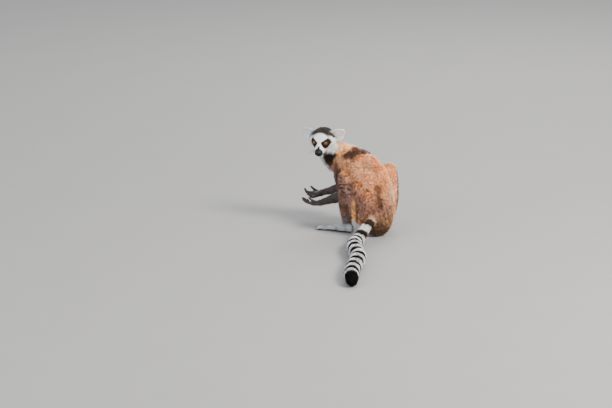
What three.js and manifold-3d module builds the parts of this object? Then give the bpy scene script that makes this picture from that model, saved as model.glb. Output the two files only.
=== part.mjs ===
// A ring-tailed lemur at life size, sitting on its haunches with its back to the viewer and looking
// round over its left shoulder, forearms held out in front and the tail laid out behind it.
//
// Units are millimetres and degrees. +Z is up, the rump sits on the floor at the origin, the pelvis
// faces +Y, and the tail runs out towards -Y. Every piece is modelled out to the tips of the coat.
// A "turn" is a heading about +Z, counted from +Y towards -X.
//
// Each piece is a capsule warped along a path (see sweep), joined or cut with its neighbours so
// that touching pieces keep a thin gap.
import * as THREE from "three";
import { mergeVertices } from "three/addons/utils/BufferGeometryUtils.js";
import Module from "manifold-3d";

const wasm = await Module();
wasm.setup();

const vec = (x, y, z) => new THREE.Vector3(x, y, z);

// ---------------------------------------------------------------- driving dimensions
const GAP = 0.4; // clearance between touching pieces
const HALF_SPACE = 1500; // side of the block that stands for one side of a plane
const SIDES = { left: -1, right: 1 };

const PELVIS = { x: -4, y: 8, turn: 12 };
const SHOULDERS = { x: -82, y: 130, z: 184, turn: 58, spread: 34, drop: 18 };
const HEAD = { x: -143, y: 132, z: 238, turn: 164, pitch: -16 };

// The hip, and each leg's joints, are out from the pelvis's midline (x), forward of it (y) and up
// (z); toeTurn is how far the toes point outwards.
const HIP = { x: 28, y: 4, z: 46 };
const LEGS = {
  [SIDES.left]: {
    knee: { x: 69, y: 60, z: 149 },
    ankle: { x: 67, y: 44, z: 27 },
    heel: { x: 61, y: 36 },
    toeTurn: 50,
  },
  [SIDES.right]: {
    knee: { x: 58, y: 77, z: 162 },
    ankle: { x: 54, y: 62, z: 27 },
    heel: { x: 47, y: 54 },
    toeTurn: 12,
  },
};
// Each arm's joints, which way the hand reaches on from the wrist, and which way its palm faces.
const ARMS = {
  [SIDES.left]: {
    elbow: vec(-84, 108, 86),
    wrist: vec(-149, 150, 54),
    reach: vec(-0.88, 0.4, -0.2),
    palm: vec(-0.2, 0.5, 0.86),
  },
  [SIDES.right]: {
    elbow: vec(-72, 188, 92),
    wrist: vec(-145, 196, 71),
    reach: vec(-0.85, -0.45, -0.1),
    palm: vec(-0.1, -0.5, 0.86),
  },
};

// The tail's middle line and radius. Where no height is given the tail lies on the floor.
const TAIL_FLAT = 1.5; // how far its underside is pressed flat there
const TAIL_LENGTHS = 5;
const TAIL_ROUTE = [
  { x: -3, y: -18, z: 58, radius: 16 },
  { x: -14, y: -40, z: 50, radius: 15.5 },
  { x: -27, y: -59, z: 39, radius: 16 },
  { x: -39, y: -78, z: 26, radius: 17 },
  { x: -50, y: -105, radius: 18.5 },
  { x: -59, y: -142, radius: 20 },
  { x: -62, y: -186, radius: 21.5 },
  { x: -58, y: -240, radius: 22 },
  { x: -52, y: -296, radius: 22 },
  { x: -59, y: -352, radius: 22 },
  { x: -68, y: -408, radius: 21.5 },
  { x: -73, y: -464, radius: 20.5 },
  { x: -72, y: -512, radius: 18 },
];

const EYE = { radius: 8.2, forward: 26, side: 14.7, up: 3 };
const EAR = {
  root: { side: 24, forward: -7, up: { [SIDES.left]: 3.5, [SIDES.right]: 9 } },
  length: 35,
  halfWidth: { [SIDES.left]: 21.5, [SIDES.right]: 18 },
  widths: [0.9, 1, 0.95, 0.78, 0.46], // shares of the half-width from root to tip
  thickness: { root: 4.8, tip: 2.9 },
  cup: 0.4, // how deeply the ear is curved across, for its half-width
  lift: { [SIDES.left]: 0.46, [SIDES.right]: 0.12 }, // how far each ear points up
};

// ---------------------------------------------------------------- frames
// Forward, right and up for something that faces `turn` and tips its nose by `pitch`.
function facing(turn, pitch = 0) {
  const rotation = new THREE.Euler(
    THREE.MathUtils.degToRad(pitch),
    0,
    THREE.MathUtils.degToRad(turn),
    "ZXY",
  );
  return {
    right: vec(1, 0, 0).applyEuler(rotation),
    forward: vec(0, 1, 0).applyEuler(rotation),
    up: vec(0, 0, 1).applyEuler(rotation),
  };
}

// A function from (right, forward, up) in a frame at `origin` to a point of the part.
function placer(origin, axes) {
  return (right, forward, up) =>
    origin
      .clone()
      .addScaledVector(axes.right, right)
      .addScaledVector(axes.forward, forward)
      .addScaledVector(axes.up, up);
}

const pelvisAxes = facing(PELVIS.turn);
const inPelvis = placer(vec(PELVIS.x, PELVIS.y, 0), pelvisAxes);
const shoulderAxes = facing(SHOULDERS.turn);
const inShoulders = placer(vec(SHOULDERS.x, SHOULDERS.y, SHOULDERS.z), shoulderAxes);
const headAxes = facing(HEAD.turn, HEAD.pitch);
const inHead = placer(vec(HEAD.x, HEAD.y, HEAD.z), headAxes);

// ---------------------------------------------------------------- solids
// A manifold-3d solid of a closed geometry.
function solid(geometry) {
  geometry.deleteAttribute("normal");
  geometry.deleteAttribute("uv");
  const merged = mergeVertices(geometry, 1e-4);
  const corners = merged.index.array;
  const faces = [];
  for (let i = 0; i < corners.length; i += 3) {
    const [a, b, c] = corners.subarray(i, i + 3);
    if (a !== b && b !== c && c !== a) faces.push(a, b, c);
  }
  return new wasm.Manifold(
    new wasm.Mesh({
      numProp: 3,
      vertProperties: new Float32Array(merged.attributes.position.array),
      triVerts: new Uint32Array(faces),
    }),
  );
}

const ball = (radius, at) => {
  const geometry = new THREE.SphereGeometry(radius, 12, 8);
  geometry.translate(at.x, at.y, at.z);
  return solid(geometry);
};

// The half-space beyond a plane through `point`, as a big block standing on it along `normal`.
function beyond(point, normal) {
  const geometry = new THREE.BoxGeometry(HALF_SPACE, HALF_SPACE, HALF_SPACE);
  geometry.translate(0, 0, HALF_SPACE / 2);
  const turn = new THREE.Quaternion().setFromUnitVectors(vec(0, 0, 1), normal.clone().normalize());
  geometry.applyQuaternion(turn);
  geometry.translate(point.x, point.y, point.z);
  return solid(geometry);
}

const underFloor = beyond(vec(0, 0, 0), vec(0, 0, -1));

// The largest body of a solid, so that no sliver is left beside a cut.
function largest(piece) {
  return piece.decompose().reduce((a, b) => (b.volume() > a.volume() ? b : a));
}

// A section of a sweep: its centre, half-width, half-heights above and below, and which way is
// up.
function section(at, wide, high, low = high, up = null) {
  return { at, size: vec(wide, high, low), up };
}

/**
 * A closed rounded solid through the sections: a capsule warped so that its straight part follows
 * a smooth path and its two ends are the round ends. `ends` are how far they stand out, `up` is
 * the default up hint, `grow` swells the piece evenly, and `shape` may move a point across its
 * section. Between sections the sizes and the up hint change smoothly.
 */
function sweep(sections, options = {}) {
  const { sectors = 16, rings = 8, caps = 3, grow = 0, up = vec(0, 0, 1), shape = null } = options;
  const path = new THREE.CatmullRomCurve3(sections.map((s) => s.at), false, "centripetal");
  const sizes = new THREE.CatmullRomCurve3(sections.map((s) => s.size), false, "centripetal");
  const hints = sections.map((s) => s.up ?? up);
  const [first, last] = [sections[0].size, sections[sections.length - 1].size];
  const ends = options.ends ?? [first.x, last.x];
  const geometry = new THREE.CapsuleGeometry(1, 1, caps, sectors, rings);
  const position = geometry.attributes.position;
  const point = vec(0, 0, 0);
  for (let i = 0; i < position.count; i++) {
    point.fromBufferAttribute(position, i);
    const along = THREE.MathUtils.clamp(point.y + 0.5, 0, 1);
    const past = point.y + 0.5 - along;
    const span = along * (sections.length - 1);
    const k = Math.min(Math.floor(span), sections.length - 2);
    const hint = hints[k].clone().lerp(hints[k + 1], span - k);
    const tangent = path.getTangent(along);
    const right = vec(0, 0, 0).crossVectors(tangent, hint).normalize();
    const above = vec(0, 0, 0).crossVectors(right, tangent).normalize();
    const size = sizes.getPoint(along);
    const end = (past < 0 ? ends[0] : ends[1]) + grow;
    const height = point.z > 0 ? size.y : size.z;
    const local = vec(point.x * (size.x + grow), past * end, point.z * (height + grow));
    if (shape) shape(local, along, past);
    point
      .copy(path.getPoint(along))
      .addScaledVector(right, local.x)
      .addScaledVector(tangent, local.y)
      .addScaledVector(above, local.z);
    position.setXYZ(i, point.x, point.y, point.z);
  }
  return solid(geometry);
}

// ---------------------------------------------------------------- trunk and neck
// A section of the torso: its centre, the way the spine faces there (turn) and how steeply it
// climbs, its half-width, and how far the back and the belly stand from the centre.
const torsoSection = (at, turn, climb, wide, back, belly) =>
  section(at, wide, back, belly, facing(turn, climb).up);

// Rump, back, shoulders and neck as one smooth form, from the seat to behind the skull.
const TORSO = [
  torsoSection(vec(0, 2, 42), 12, 92, 45, 40, 40),
  torsoSection(vec(-1, 3, 76), 14, 76, 54, 49, 43),
  torsoSection(vec(-8, 23, 110), 20, 56, 59, 54, 46),
  torsoSection(vec(-22, 56, 142), 32, 44, 59, 55, 48),
  torsoSection(vec(-45, 90, 168), 46, 34, 53, 51, 46),
  torsoSection(vec(-76, 120, 185), 60, 22, 43, 40, 50),
  torsoSection(vec(-98, 131, 195), 76, 28, 37, 35, 54),
  torsoSection(vec(-115, 135, 204), 92, 40, 33, 32, 47),
  torsoSection(vec(-132, 134, 219), 112, 48, 30, 30, 34),
];
const NECK_BASE = 0.77; // share of the torso's path at which the neck parts from the trunk

function torso(grow) {
  return sweep(TORSO, { sectors: 20, rings: 15, caps: 4, grow, ends: [45, 14] });
}

// The trunk and the neck, parted by a plane across the spine.
function trunkAndNeck() {
  const path = new THREE.CatmullRomCurve3(TORSO.map((s) => s.at), false, "centripetal");
  const [at, along] = [path.getPoint(NECK_BASE), path.getTangent(NECK_BASE)];
  const neckSide = at.clone().addScaledVector(along, GAP / 2);
  const trunkSide = at.clone().addScaledVector(along, -GAP / 2);
  const whole = torso(0);
  return {
    trunk: whole.subtract(beyond(trunkSide, along)).subtract(skull(GAP)),
    neck: whole.subtract(beyond(neckSide, along.clone().negate())).subtract(skull(GAP)),
  };
}

// ---------------------------------------------------------------- head
// Sections from the back of the skull to the tip of the muzzle: distance forward, half-width,
// and how far the profile stands above and below the head's own axis.
const HEAD_PROFILE = [
  { forward: -28, wide: 21, above: 21, below: 18 },
  { forward: -16, wide: 29.5, above: 30, below: 28 },
  { forward: -2, wide: 33, above: 32.5, below: 32 },
  { forward: 10, wide: 31.5, above: 29, below: 33 },
  { forward: 20, wide: 26.5, above: 21, below: 32.5 },
  { forward: 28, wide: 20, above: 11, below: 31.5 },
  { forward: 36, wide: 15, above: 2.5, below: 31 },
  { forward: 45, wide: 12.3, above: -4, below: 30 },
  { forward: 54, wide: 10.3, above: -8.5, below: 28 },
];
const RUFF = { at: 0.34, reach: 0.32, swell: 0.42 }; // the long hair of the cheeks

const bump = (value, middle, reach) => {
  const share = THREE.MathUtils.clamp((value - middle) / reach, -1, 1);
  return 0.5 + 0.5 * Math.cos(Math.PI * share);
};

function skull(grow) {
  const sections = HEAD_PROFILE.map(({ forward, wide, above, below }) => {
    const half = (above + below) / 2;
    return section(inHead(0, forward, above - half), wide, half);
  });
  return sweep(sections, {
    sectors: 18,
    rings: 12,
    caps: 3,
    grow,
    up: headAxes.up,
    ends: [12, 5],
    shape: (local, along) => {
      const low = THREE.MathUtils.smoothstep(-local.z, -12, 22);
      local.x *= 1 + RUFF.swell * low * bump(along, RUFF.at, RUFF.reach);
    },
  });
}

const nose = (grow) =>
  sweep(
    [
      section(inHead(0, 52, -12), 5, 3.2, 3.6),
      section(inHead(0, 56.5, -13.4), 6.2, 4, 5),
      section(inHead(0, 59.5, -14.8), 5.6, 3.8, 5),
    ],
    { sectors: 10, rings: 3, caps: 2, grow, up: headAxes.up, ends: [2, 2.4] },
  );

const eyeCentre = (side) => inHead(side * EYE.side, EYE.forward, EYE.up);

// A cupped leaf that stands out from the side of the head and opens forwards.
function ear(side, grow) {
  const { root, length, widths, thickness, cup, lift } = EAR;
  const halfWidth = EAR.halfWidth[side];
  const rootAt = inHead(side * root.side, root.forward, root.up[side]);
  const reach = vec(0, 0, 0)
    .addScaledVector(headAxes.right, side * 0.9)
    .addScaledVector(headAxes.up, lift[side])
    .addScaledVector(headAxes.forward, -0.2)
    .normalize();
  const opening = headAxes.forward.clone().addScaledVector(headAxes.right, side * 0.25);
  const sections = widths.map((width, i) => {
    const share = i / (widths.length - 1);
    const at = rootAt.clone().addScaledVector(reach, length * share);
    const thick = THREE.MathUtils.lerp(thickness.root, thickness.tip, share);
    return section(at, halfWidth * width, thick);
  });
  return sweep(sections, {
    sectors: 12,
    rings: 5,
    caps: 2,
    grow,
    up: opening,
    ends: [4, 5],
    shape: (local) => {
      const across = local.x / halfWidth;
      local.z += cup * halfWidth * across * across;
    },
  });
}

// ---------------------------------------------------------------- limbs
// A point of a leg in the pelvis's frame: how far out from the midline, forward and up.
const legPoint = (side, { x, y, z }) => inPelvis(side * x, y, z);

// A point part of the way from one joint to the next, shifted out from the midline and back.
function between(from, to, share, out = 0, back = 0) {
  return from
    .clone()
    .lerp(to, share)
    .addScaledVector(pelvisAxes.right, out)
    .addScaledVector(pelvisAxes.forward, -back);
}

function thigh(side, grow) {
  const hip = legPoint(side, HIP);
  const knee = legPoint(side, LEGS[side].knee);
  const out = pelvisAxes.right.clone().multiplyScalar(side);
  return sweep(
    [
      section(between(hip, knee, 0), 38, 26),
      section(between(hip, knee, 0.24, side * 2), 40, 27),
      section(between(hip, knee, 0.5, side * 3), 34, 25),
      section(between(hip, knee, 0.76, side * 1), 31, 25),
      section(between(hip, knee, 0.94), 26, 22),
    ],
    { sectors: 12, rings: 6, caps: 2, grow, up: out, ends: [24, 16] },
  );
}

function shin(side, grow) {
  const knee = legPoint(side, LEGS[side].knee);
  const ankle = legPoint(side, LEGS[side].ankle);
  const out = pelvisAxes.right.clone().multiplyScalar(side);
  return sweep(
    [
      section(between(knee, ankle, 0), 22, 22),
      section(between(knee, ankle, 0.26, side * 1, 8), 27, 24),
      section(between(knee, ankle, 0.56, side * 1, 12), 26, 24),
      section(between(knee, ankle, 0.84, side * 1, 5), 18, 18),
      section(between(knee, ankle, 1), 14, 13.5),
    ],
    { sectors: 12, rings: 6, grow, up: out, ends: [20, 11] },
  );
}

// One finger or toe: a bent tapering rod of one length along each of the directions.
function digit(root, directions, lengths, radius, up) {
  const points = [root];
  directions.forEach((direction, i) => {
    points.push(points[i].clone().addScaledVector(direction.clone().normalize(), lengths[i]));
  });
  const taper = [1.05, 1, 0.96, 0.86];
  const sections = points.map((at, i) => section(at, radius * taper[i], radius * taper[i] * 0.95));
  return sweep(sections, { sectors: 6, rings: 3, caps: 1, up, ends: [radius, radius * 0.9] });
}

// A direction that runs forward in `axes`, fanned out sideways and tipped up by angles.
function fanned(axes, sideways, upwards) {
  const [fan, tip] = [sideways, upwards].map(THREE.MathUtils.degToRad);
  return vec(0, 0, 0)
    .addScaledVector(axes.right, Math.sin(fan) * Math.cos(tip))
    .addScaledVector(axes.forward, Math.cos(fan) * Math.cos(tip))
    .addScaledVector(axes.up, Math.sin(tip));
}

const TOES = [
  { across: -10, fan: -11, lengths: [11, 10, 9] },
  { across: -3.4, fan: -3, lengths: [13, 12, 10] },
  { across: 3.4, fan: 4, lengths: [13, 11, 9] },
  { across: 9.8, fan: 12, lengths: [10, 9, 8] },
];
const BIG_TOE = { across: -8, fan: -48, lengths: [12, 9, 7] };
const TOE_TIPS = [6, 0, -10]; // how far each length of a toe tips up

// A long flat foot with four toes and a big toe that stands well apart on the inner side.
function foot(side) {
  const { heel, ankle, toeTurn } = LEGS[side];
  const axes = facing(PELVIS.turn - side * toeTurn);
  const inFoot = placer(legPoint(side, { ...heel, z: 0 }), axes);
  const ankleAt = legPoint(side, ankle).add(vec(0, 0, 1));
  const sole = sweep(
    [
      section(inFoot(0, -4, 12), 10.5, 12, 13),
      section(inFoot(0, 14, 12), 11.5, 12, 13),
      section(inFoot(0, 40, 9.5), 13.5, 9, 10.5),
      section(inFoot(0, 68, 7), 14.5, 6, 8),
    ],
    { sectors: 10, rings: 5, caps: 2, ends: [8, 7] },
  );
  const hock = sweep([section(inFoot(0, 1, 14), 11, 12), section(ankleAt, 13, 12.5)], {
    sectors: 8,
    rings: 1,
    caps: 2,
    up: axes.forward,
    ends: [6, 8],
  });
  const toe = ({ across, fan, lengths }, forward, radius, height) => {
    const directions = TOE_TIPS.map((tip) => fanned(axes, side * fan, tip));
    return digit(inFoot(side * across, forward, height), directions, lengths, radius, axes.up);
  };
  const toes = TOES.map((each) => toe(each, 66, 4.5, 4.6));
  return [hock, ...toes, toe(BIG_TOE, 42, 5.8, 5)].reduce((whole, piece) => whole.add(piece), sole);
}

const shoulderPoint = (side) => inShoulders(side * SHOULDERS.spread, 0, -SHOULDERS.drop);

function upperArm(side, grow) {
  const shoulder = shoulderPoint(side);
  const { elbow } = ARMS[side];
  const along = (share) => shoulder.clone().lerp(elbow, share);
  const inner = shoulder.clone().addScaledVector(shoulderAxes.right, -side * 10).add(vec(0, 0, 12));
  return sweep(
    [
      section(inner, 24, 22),
      section(along(0.3), 22.5, 20),
      section(along(0.68), 18.5, 18),
      section(elbow.clone(), 15, 15),
    ],
    { sectors: 10, rings: 5, grow, up: shoulderAxes.forward, ends: [16, 12] },
  );
}

function forearm(side, grow) {
  const { elbow, wrist } = ARMS[side];
  const along = (share) => elbow.clone().lerp(wrist, share);
  return sweep(
    [
      section(elbow.clone(), 16, 16),
      section(along(0.3), 16.5, 16.5),
      section(along(0.68), 12.5, 12.5),
      section(wrist.clone(), 10, 9.5),
    ],
    { sectors: 10, rings: 5, grow, ends: [14, 7] },
  );
}

const FINGERS = [
  { across: -10, fan: -9, lengths: [10, 9, 8] },
  { across: -3.4, fan: -3, lengths: [12, 11, 9] },
  { across: 3.4, fan: 4, lengths: [12, 11, 9] },
  { across: 9.8, fan: 12, lengths: [11, 10, 8] },
];
const THUMB = { across: 9, fan: 34, lengths: [11, 7, 6] };
const FINGER_CURL = [10, 36, 68]; // how far each length of a finger closes over the palm
const THUMB_CURL = [22, 34, 50];

// A half-closed hand whose fingers curl over the palm, as if round a piece of fruit.
function hand(side) {
  const { wrist, reach, palm } = ARMS[side];
  const forward = reach.clone().normalize();
  const thumbSide = vec(0, 0, 0).crossVectors(forward, palm).normalize().multiplyScalar(side);
  const inward = palm.clone().addScaledVector(forward, -palm.dot(forward)).normalize();
  const axes = { right: thumbSide, forward, up: inward };
  const inHand = placer(wrist, axes);
  const body = sweep(
    [
      section(inHand(0, -4, 0), 10, 9.5),
      section(inHand(0, 12, 0), 12, 8),
      section(inHand(0, 26, 1), 14, 7),
    ],
    { sectors: 8, rings: 3, caps: 2, up: inward, ends: [6, 5] },
  );
  const finger = ({ across, fan, lengths }, forwardBy, curl) => {
    const directions = curl.map((angle) => fanned(axes, fan, angle));
    return digit(inHand(across, forwardBy, 1), directions, lengths, 4.5, inward);
  };
  const fingers = FINGERS.map((each) => finger(each, 26, FINGER_CURL));
  return [...fingers, finger(THUMB, 8, THUMB_CURL)].reduce((whole, piece) => whole.add(piece), body);
}

// ---------------------------------------------------------------- tail
const TAIL = TAIL_ROUTE.map(({ x, y, z, radius }) =>
  section(vec(x, y, z ?? radius - TAIL_FLAT), radius, radius),
);

// The tail in equal lengths, each parted from the next by a thin cut across it.
function tailLengths() {
  const path = new THREE.CatmullRomCurve3(TAIL.map(({ at }) => at), false, "centripetal");
  const whole = sweep(TAIL, { sectors: 11, rings: 27, caps: 3, ends: [8, 22] });
  const beyondCut = (i, shift, direction) => {
    const along = path.getTangent(i / TAIL_LENGTHS);
    const at = path.getPoint(i / TAIL_LENGTHS).addScaledVector(along, shift);
    return beyond(at, along.multiplyScalar(direction));
  };
  return Array.from({ length: TAIL_LENGTHS }, (_, i) => {
    let piece = whole;
    if (i > 0) piece = piece.subtract(beyondCut(i, GAP / 2, -1));
    if (i < TAIL_LENGTHS - 1) piece = piece.subtract(beyondCut(i + 1, -GAP / 2, 1));
    return piece;
  });
}

// ---------------------------------------------------------------- parting the pieces
const minus = (piece, ...cutters) => cutters.reduce((left, cutter) => left.subtract(cutter), piece);

// Parts a limb from its hand or foot on a plane across the joint.
function partAcross(joint, along, limb, end) {
  const below = joint.clone().addScaledVector(along, -GAP);
  return [
    limb.subtract(beyond(below, along)),
    end.subtract(beyond(joint, along.clone().negate())),
  ];
}

function headPieces() {
  let head = skull(0).subtract(nose(GAP));
  const found = { nose: nose(0) };
  for (const [name, side] of Object.entries(SIDES)) {
    head = head.subtract(ball(EYE.radius + GAP, eyeCentre(side)));
    found["eye_" + name] = ball(EYE.radius, eyeCentre(side));
    found["ear_" + name] = minus(ear(side, 0), skull(GAP), torso(GAP));
  }
  return { head, ...found };
}

function legPieces(name, side) {
  const [knee, ankle] = [LEGS[side].knee, LEGS[side].ankle].map((at) => legPoint(side, at));
  const down = ankle.clone().sub(knee).normalize();
  const [lower, sole] = partAcross(ankle, down, shin(side, 0), foot(side));
  return {
    ["thigh_" + name]: minus(thigh(side, 0), shin(side, GAP), torso(GAP)),
    ["shin_" + name]: lower.subtract(torso(GAP)),
    ["foot_" + name]: sole,
  };
}

function armPieces(name, side) {
  const { elbow, wrist } = ARMS[side];
  const down = wrist.clone().sub(elbow).normalize();
  const [lower, end] = partAcross(wrist, down, forearm(side, 0), hand(side));
  const legs = [thigh(side, GAP), shin(side, GAP)];
  return {
    ["upper_arm_" + name]: minus(upperArm(side, 0), forearm(side, GAP), torso(GAP), ...legs),
    ["forearm_" + name]: minus(lower, torso(GAP), ...legs),
    ["hand_" + name]: end,
  };
}

function tailPieces() {
  const thighs = [thigh(SIDES.left, GAP), thigh(SIDES.right, GAP)];
  const lengths = tailLengths().map((piece, i) => ["tail_" + (i + 1), piece]);
  lengths[0][1] = minus(lengths[0][1], torso(GAP), ...thighs);
  return Object.fromEntries(lengths);
}

const pieces = {
  ...headPieces(),
  ...trunkAndNeck(),
  ...armPieces("left", SIDES.left),
  ...armPieces("right", SIDES.right),
  ...legPieces("left", SIDES.left),
  ...legPieces("right", SIDES.right),
  ...tailPieces(),
};

// ---------------------------------------------------------------- materials and the scene graph
const finish = (color, roughness) =>
  new THREE.MeshStandardMaterial({ color, roughness, metalness: 0 });

const COATS = [
  { match: /^(trunk|thigh|upper_arm)/, material: finish(0xa9714f, 0.95) },
  { match: /^(neck|shin|forearm)/, material: finish(0x8a7566, 0.95) },
  { match: /^(head|ear)/, material: finish(0xe6e4e0, 0.9) },
  { match: /^(hand|foot)/, material: finish(0x9a989c, 0.85) },
  { match: /^tail/, material: finish(0xd9d6d2, 0.95) },
  { match: /^nose/, material: finish(0x141315, 0.45) },
  { match: /^eye/, material: finish(0xc8701a, 0.12) },
];

function meshOf(name, piece) {
  const { vertProperties, triVerts } = largest(piece.subtract(underFloor)).getMesh();
  const geometry = new THREE.BufferGeometry();
  geometry.setAttribute("position", new THREE.BufferAttribute(vertProperties, 3));
  geometry.setIndex(new THREE.BufferAttribute(triVerts, 1));
  geometry.computeVertexNormals();
  const { material } = COATS.find(({ match }) => match.test(name));
  const mesh = new THREE.Mesh(geometry, material);
  mesh.name = name;
  return mesh;
}

const lemur = new THREE.Group();
for (const [name, piece] of Object.entries(pieces)) lemur.add(meshOf(name, piece));

export default lemur;
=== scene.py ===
"""A ring-tailed lemur at life size, as a still museum model.

One skin grows from the solids of flesh and is drawn in under the depth of the coat. A coat of solid
tufts covers it and lies the way the hair lies. Eyes, nails and whiskers are pieces of their own.
Sizes are in millimetres and degrees in the classes below, and in metres once they reach Blender.
"""

import logging
import math
from dataclasses import dataclass, field, fields, replace
from enum import Enum
from typing import Callable, Iterable

import bmesh
import bpy
import numpy as np
from mathutils import Matrix, Vector
from mathutils.bvhtree import BVHTree
from mathutils.kdtree import KDTree

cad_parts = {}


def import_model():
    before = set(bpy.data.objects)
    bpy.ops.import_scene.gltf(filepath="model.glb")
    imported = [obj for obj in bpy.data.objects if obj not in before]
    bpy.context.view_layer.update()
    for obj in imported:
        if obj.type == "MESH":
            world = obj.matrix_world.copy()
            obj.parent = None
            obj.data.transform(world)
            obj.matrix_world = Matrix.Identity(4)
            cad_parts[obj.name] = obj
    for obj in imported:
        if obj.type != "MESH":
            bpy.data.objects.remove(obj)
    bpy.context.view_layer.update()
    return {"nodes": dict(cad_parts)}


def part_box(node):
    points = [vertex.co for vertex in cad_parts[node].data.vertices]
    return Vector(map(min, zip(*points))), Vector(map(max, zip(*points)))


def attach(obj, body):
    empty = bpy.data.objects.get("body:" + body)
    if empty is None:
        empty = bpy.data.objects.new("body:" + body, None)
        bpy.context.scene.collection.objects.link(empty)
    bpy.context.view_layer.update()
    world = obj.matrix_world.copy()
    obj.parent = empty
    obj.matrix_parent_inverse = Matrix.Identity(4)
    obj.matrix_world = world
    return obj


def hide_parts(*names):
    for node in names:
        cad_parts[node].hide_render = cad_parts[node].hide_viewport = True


LOG = logging.getLogger("lemur")
MM = 0.001
SEED = 20
BODY = "root"
MARKING = "marking"
GAZE = "gaze"
BAKE_MAP = "OFBake"
BAKE_PATCH = 0.003

Array = np.ndarray
Colour = tuple[float, float, float]
Point = tuple[float, float, float]
Pair = tuple[float, float]
Mesh = bpy.types.Mesh
Shape = bmesh.types.BMesh
Material = bpy.types.Material
Node = bpy.types.Node
Sockets = bpy.types.bpy_prop_collection
Thing = bpy.types.Object
Socket = bpy.types.NodeSocket
Tree = bpy.types.NodeTree


# ---- small helpers
def unit(vectors: Array) -> Array:
    """Scales vectors, along the last axis, to length one."""
    length = np.linalg.norm(vectors, axis=-1, keepdims=True)
    return vectors / np.maximum(length, 1e-12)


def ramp(value: Array, low: float, high: float) -> Array:
    """Rises smoothly from 0 at low to 1 at high, or falls where high is the lesser."""
    share = np.clip((value - low) / (high - low), 0.0, 1.0)
    return share * share * (3.0 - 2.0 * share)


def bell(value: Array, middle: float, width: float) -> Array:
    """Stands at 1 in the middle and falls away on both sides."""
    return np.exp(-(((value - middle) / width) ** 2))


def mix(first: Array | Colour, second: Array | Colour, share: Array) -> Array:
    """Blends two colours, or rows of them, by one share to a row."""
    share = np.asarray(share)[:, None]
    return np.asarray(first) * (1.0 - share) + np.asarray(second) * share


def layered(base: Array | Colour, *layers: tuple[Array | Colour, Array]) -> Array:
    """Lays colours one over another.

    Args:
        base: The lowest colour.
        *layers: Colours from the lowest up, each with how much of it shows at each place.

    Returns:
        One colour to a place.
    """
    for colour, share in layers:
        base = mix(base, colour, share)
    return base


def value_noise(points: Array, pitch: float, seed: int = 0) -> Array:
    """Makes smooth random values on a lattice.

    Args:
        points: Places in metres, one to a row.
        pitch: Spacing of the lattice in millimetres.
        seed: Chooses one pattern out of many.

    Returns:
        One value from 0 to 1 for each point.
    """
    place = points / (pitch * MM) + 1000.0
    cell = np.floor(place).astype(np.int64)
    part = place - cell
    part = part * part * (3.0 - 2.0 * part)
    total = np.zeros(len(points))
    for corner in range(8):
        step = np.array([corner & 1, corner >> 1 & 1, corner >> 2 & 1])
        key = (cell + step) @ np.array([73856093, 19349663, 83492791]) + seed * 2654435
        key = (key ^ (key >> 13)) * 1274126177 & 0x7FFFFFFF
        key = (key ^ (key >> 16)) & 0xFFFF
        weight = np.prod(np.where(step == 1, part, 1.0 - part), axis=1)
        total += weight * key / 65535.0
    return total


def mesh_arrays(mesh: Mesh) -> tuple[Array, Array]:
    """Reads a mesh as its vertices and its triangles.

    Args:
        mesh: The mesh to read.

    Returns:
        The vertices, and the triangles as rows of vertex numbers.
    """
    mesh.calc_loop_triangles()
    points = np.empty(len(mesh.vertices) * 3)
    mesh.vertices.foreach_get("co", points)
    corners = np.empty(len(mesh.loop_triangles) * 3, dtype=np.int32)
    mesh.loop_triangles.foreach_get("vertices", corners)
    return points.reshape(-1, 3), corners.reshape(-1, 3)


def mesh_from_arrays(name: str, points: Array, triangles: Array) -> Mesh:
    """Makes a mesh of triangles.

    Args:
        name: The mesh's name.
        points: Vertices, one to a row, in metres.
        triangles: Rows of three vertex numbers.

    Returns:
        The mesh, smooth shaded.
    """
    mesh = bpy.data.meshes.new(name)
    mesh.vertices.add(len(points))
    mesh.vertices.foreach_set("co", points.astype(np.float32).ravel())
    mesh.loops.add(triangles.size)
    mesh.loops.foreach_set("vertex_index", triangles.astype(np.int32).ravel())
    mesh.polygons.add(len(triangles))
    mesh.polygons.foreach_set("loop_start", np.arange(0, triangles.size, 3, dtype=np.int32))
    mesh.update(calc_edges=True)
    mesh.shade_smooth()
    return mesh


def paint(mesh: Mesh, colours: Array, alpha: Array) -> None:
    """Stores the marking, a linear colour with an alpha, on each vertex."""
    layer = mesh.color_attributes.new(MARKING, "FLOAT_COLOR", "POINT")
    layer.data.foreach_set("color", np.column_stack([colours, alpha]).astype(np.float32).ravel())


def add_object(name: str, data: Mesh | bpy.types.Camera | bpy.types.Light) -> Thing:
    """Links data to the scene as an object at the origin.

    Args:
        name: The object's name.
        data: Its mesh, camera or light.

    Returns:
        The object.
    """
    made = bpy.data.objects.new(name, data)
    bpy.context.scene.collection.objects.link(made)
    return made


def close_shape(shape: Shape, name: str) -> Mesh:
    """Turns a bmesh into a mesh and frees it.

    Args:
        shape: The bmesh.
        name: The mesh's name.

    Returns:
        The mesh, smooth shaded.
    """
    mesh = bpy.data.meshes.new(name)
    shape.to_mesh(mesh)
    shape.free()
    mesh.shade_smooth()
    return mesh


def present(mesh: Mesh, material: Material, slot: str, *nodes: str) -> Thing:
    """Makes a finished mesh a piece, hands it to the frame and reports it.

    Args:
        mesh: The finished mesh, whose name the piece takes.
        material: Its material.
        slot: The record's material slot, named in the report.
        *nodes: The solids that it stands for.

    Returns:
        The piece.
    """
    mesh.materials.append(material)
    piece = add_object(mesh.name, mesh)
    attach(piece, BODY)
    if nodes:
        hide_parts(*nodes)
    report = "%s: %d faces, slot %s, stands for %d solids"
    LOG.info(report, piece.name, len(mesh.polygons), slot, len(nodes))
    return piece


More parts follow.
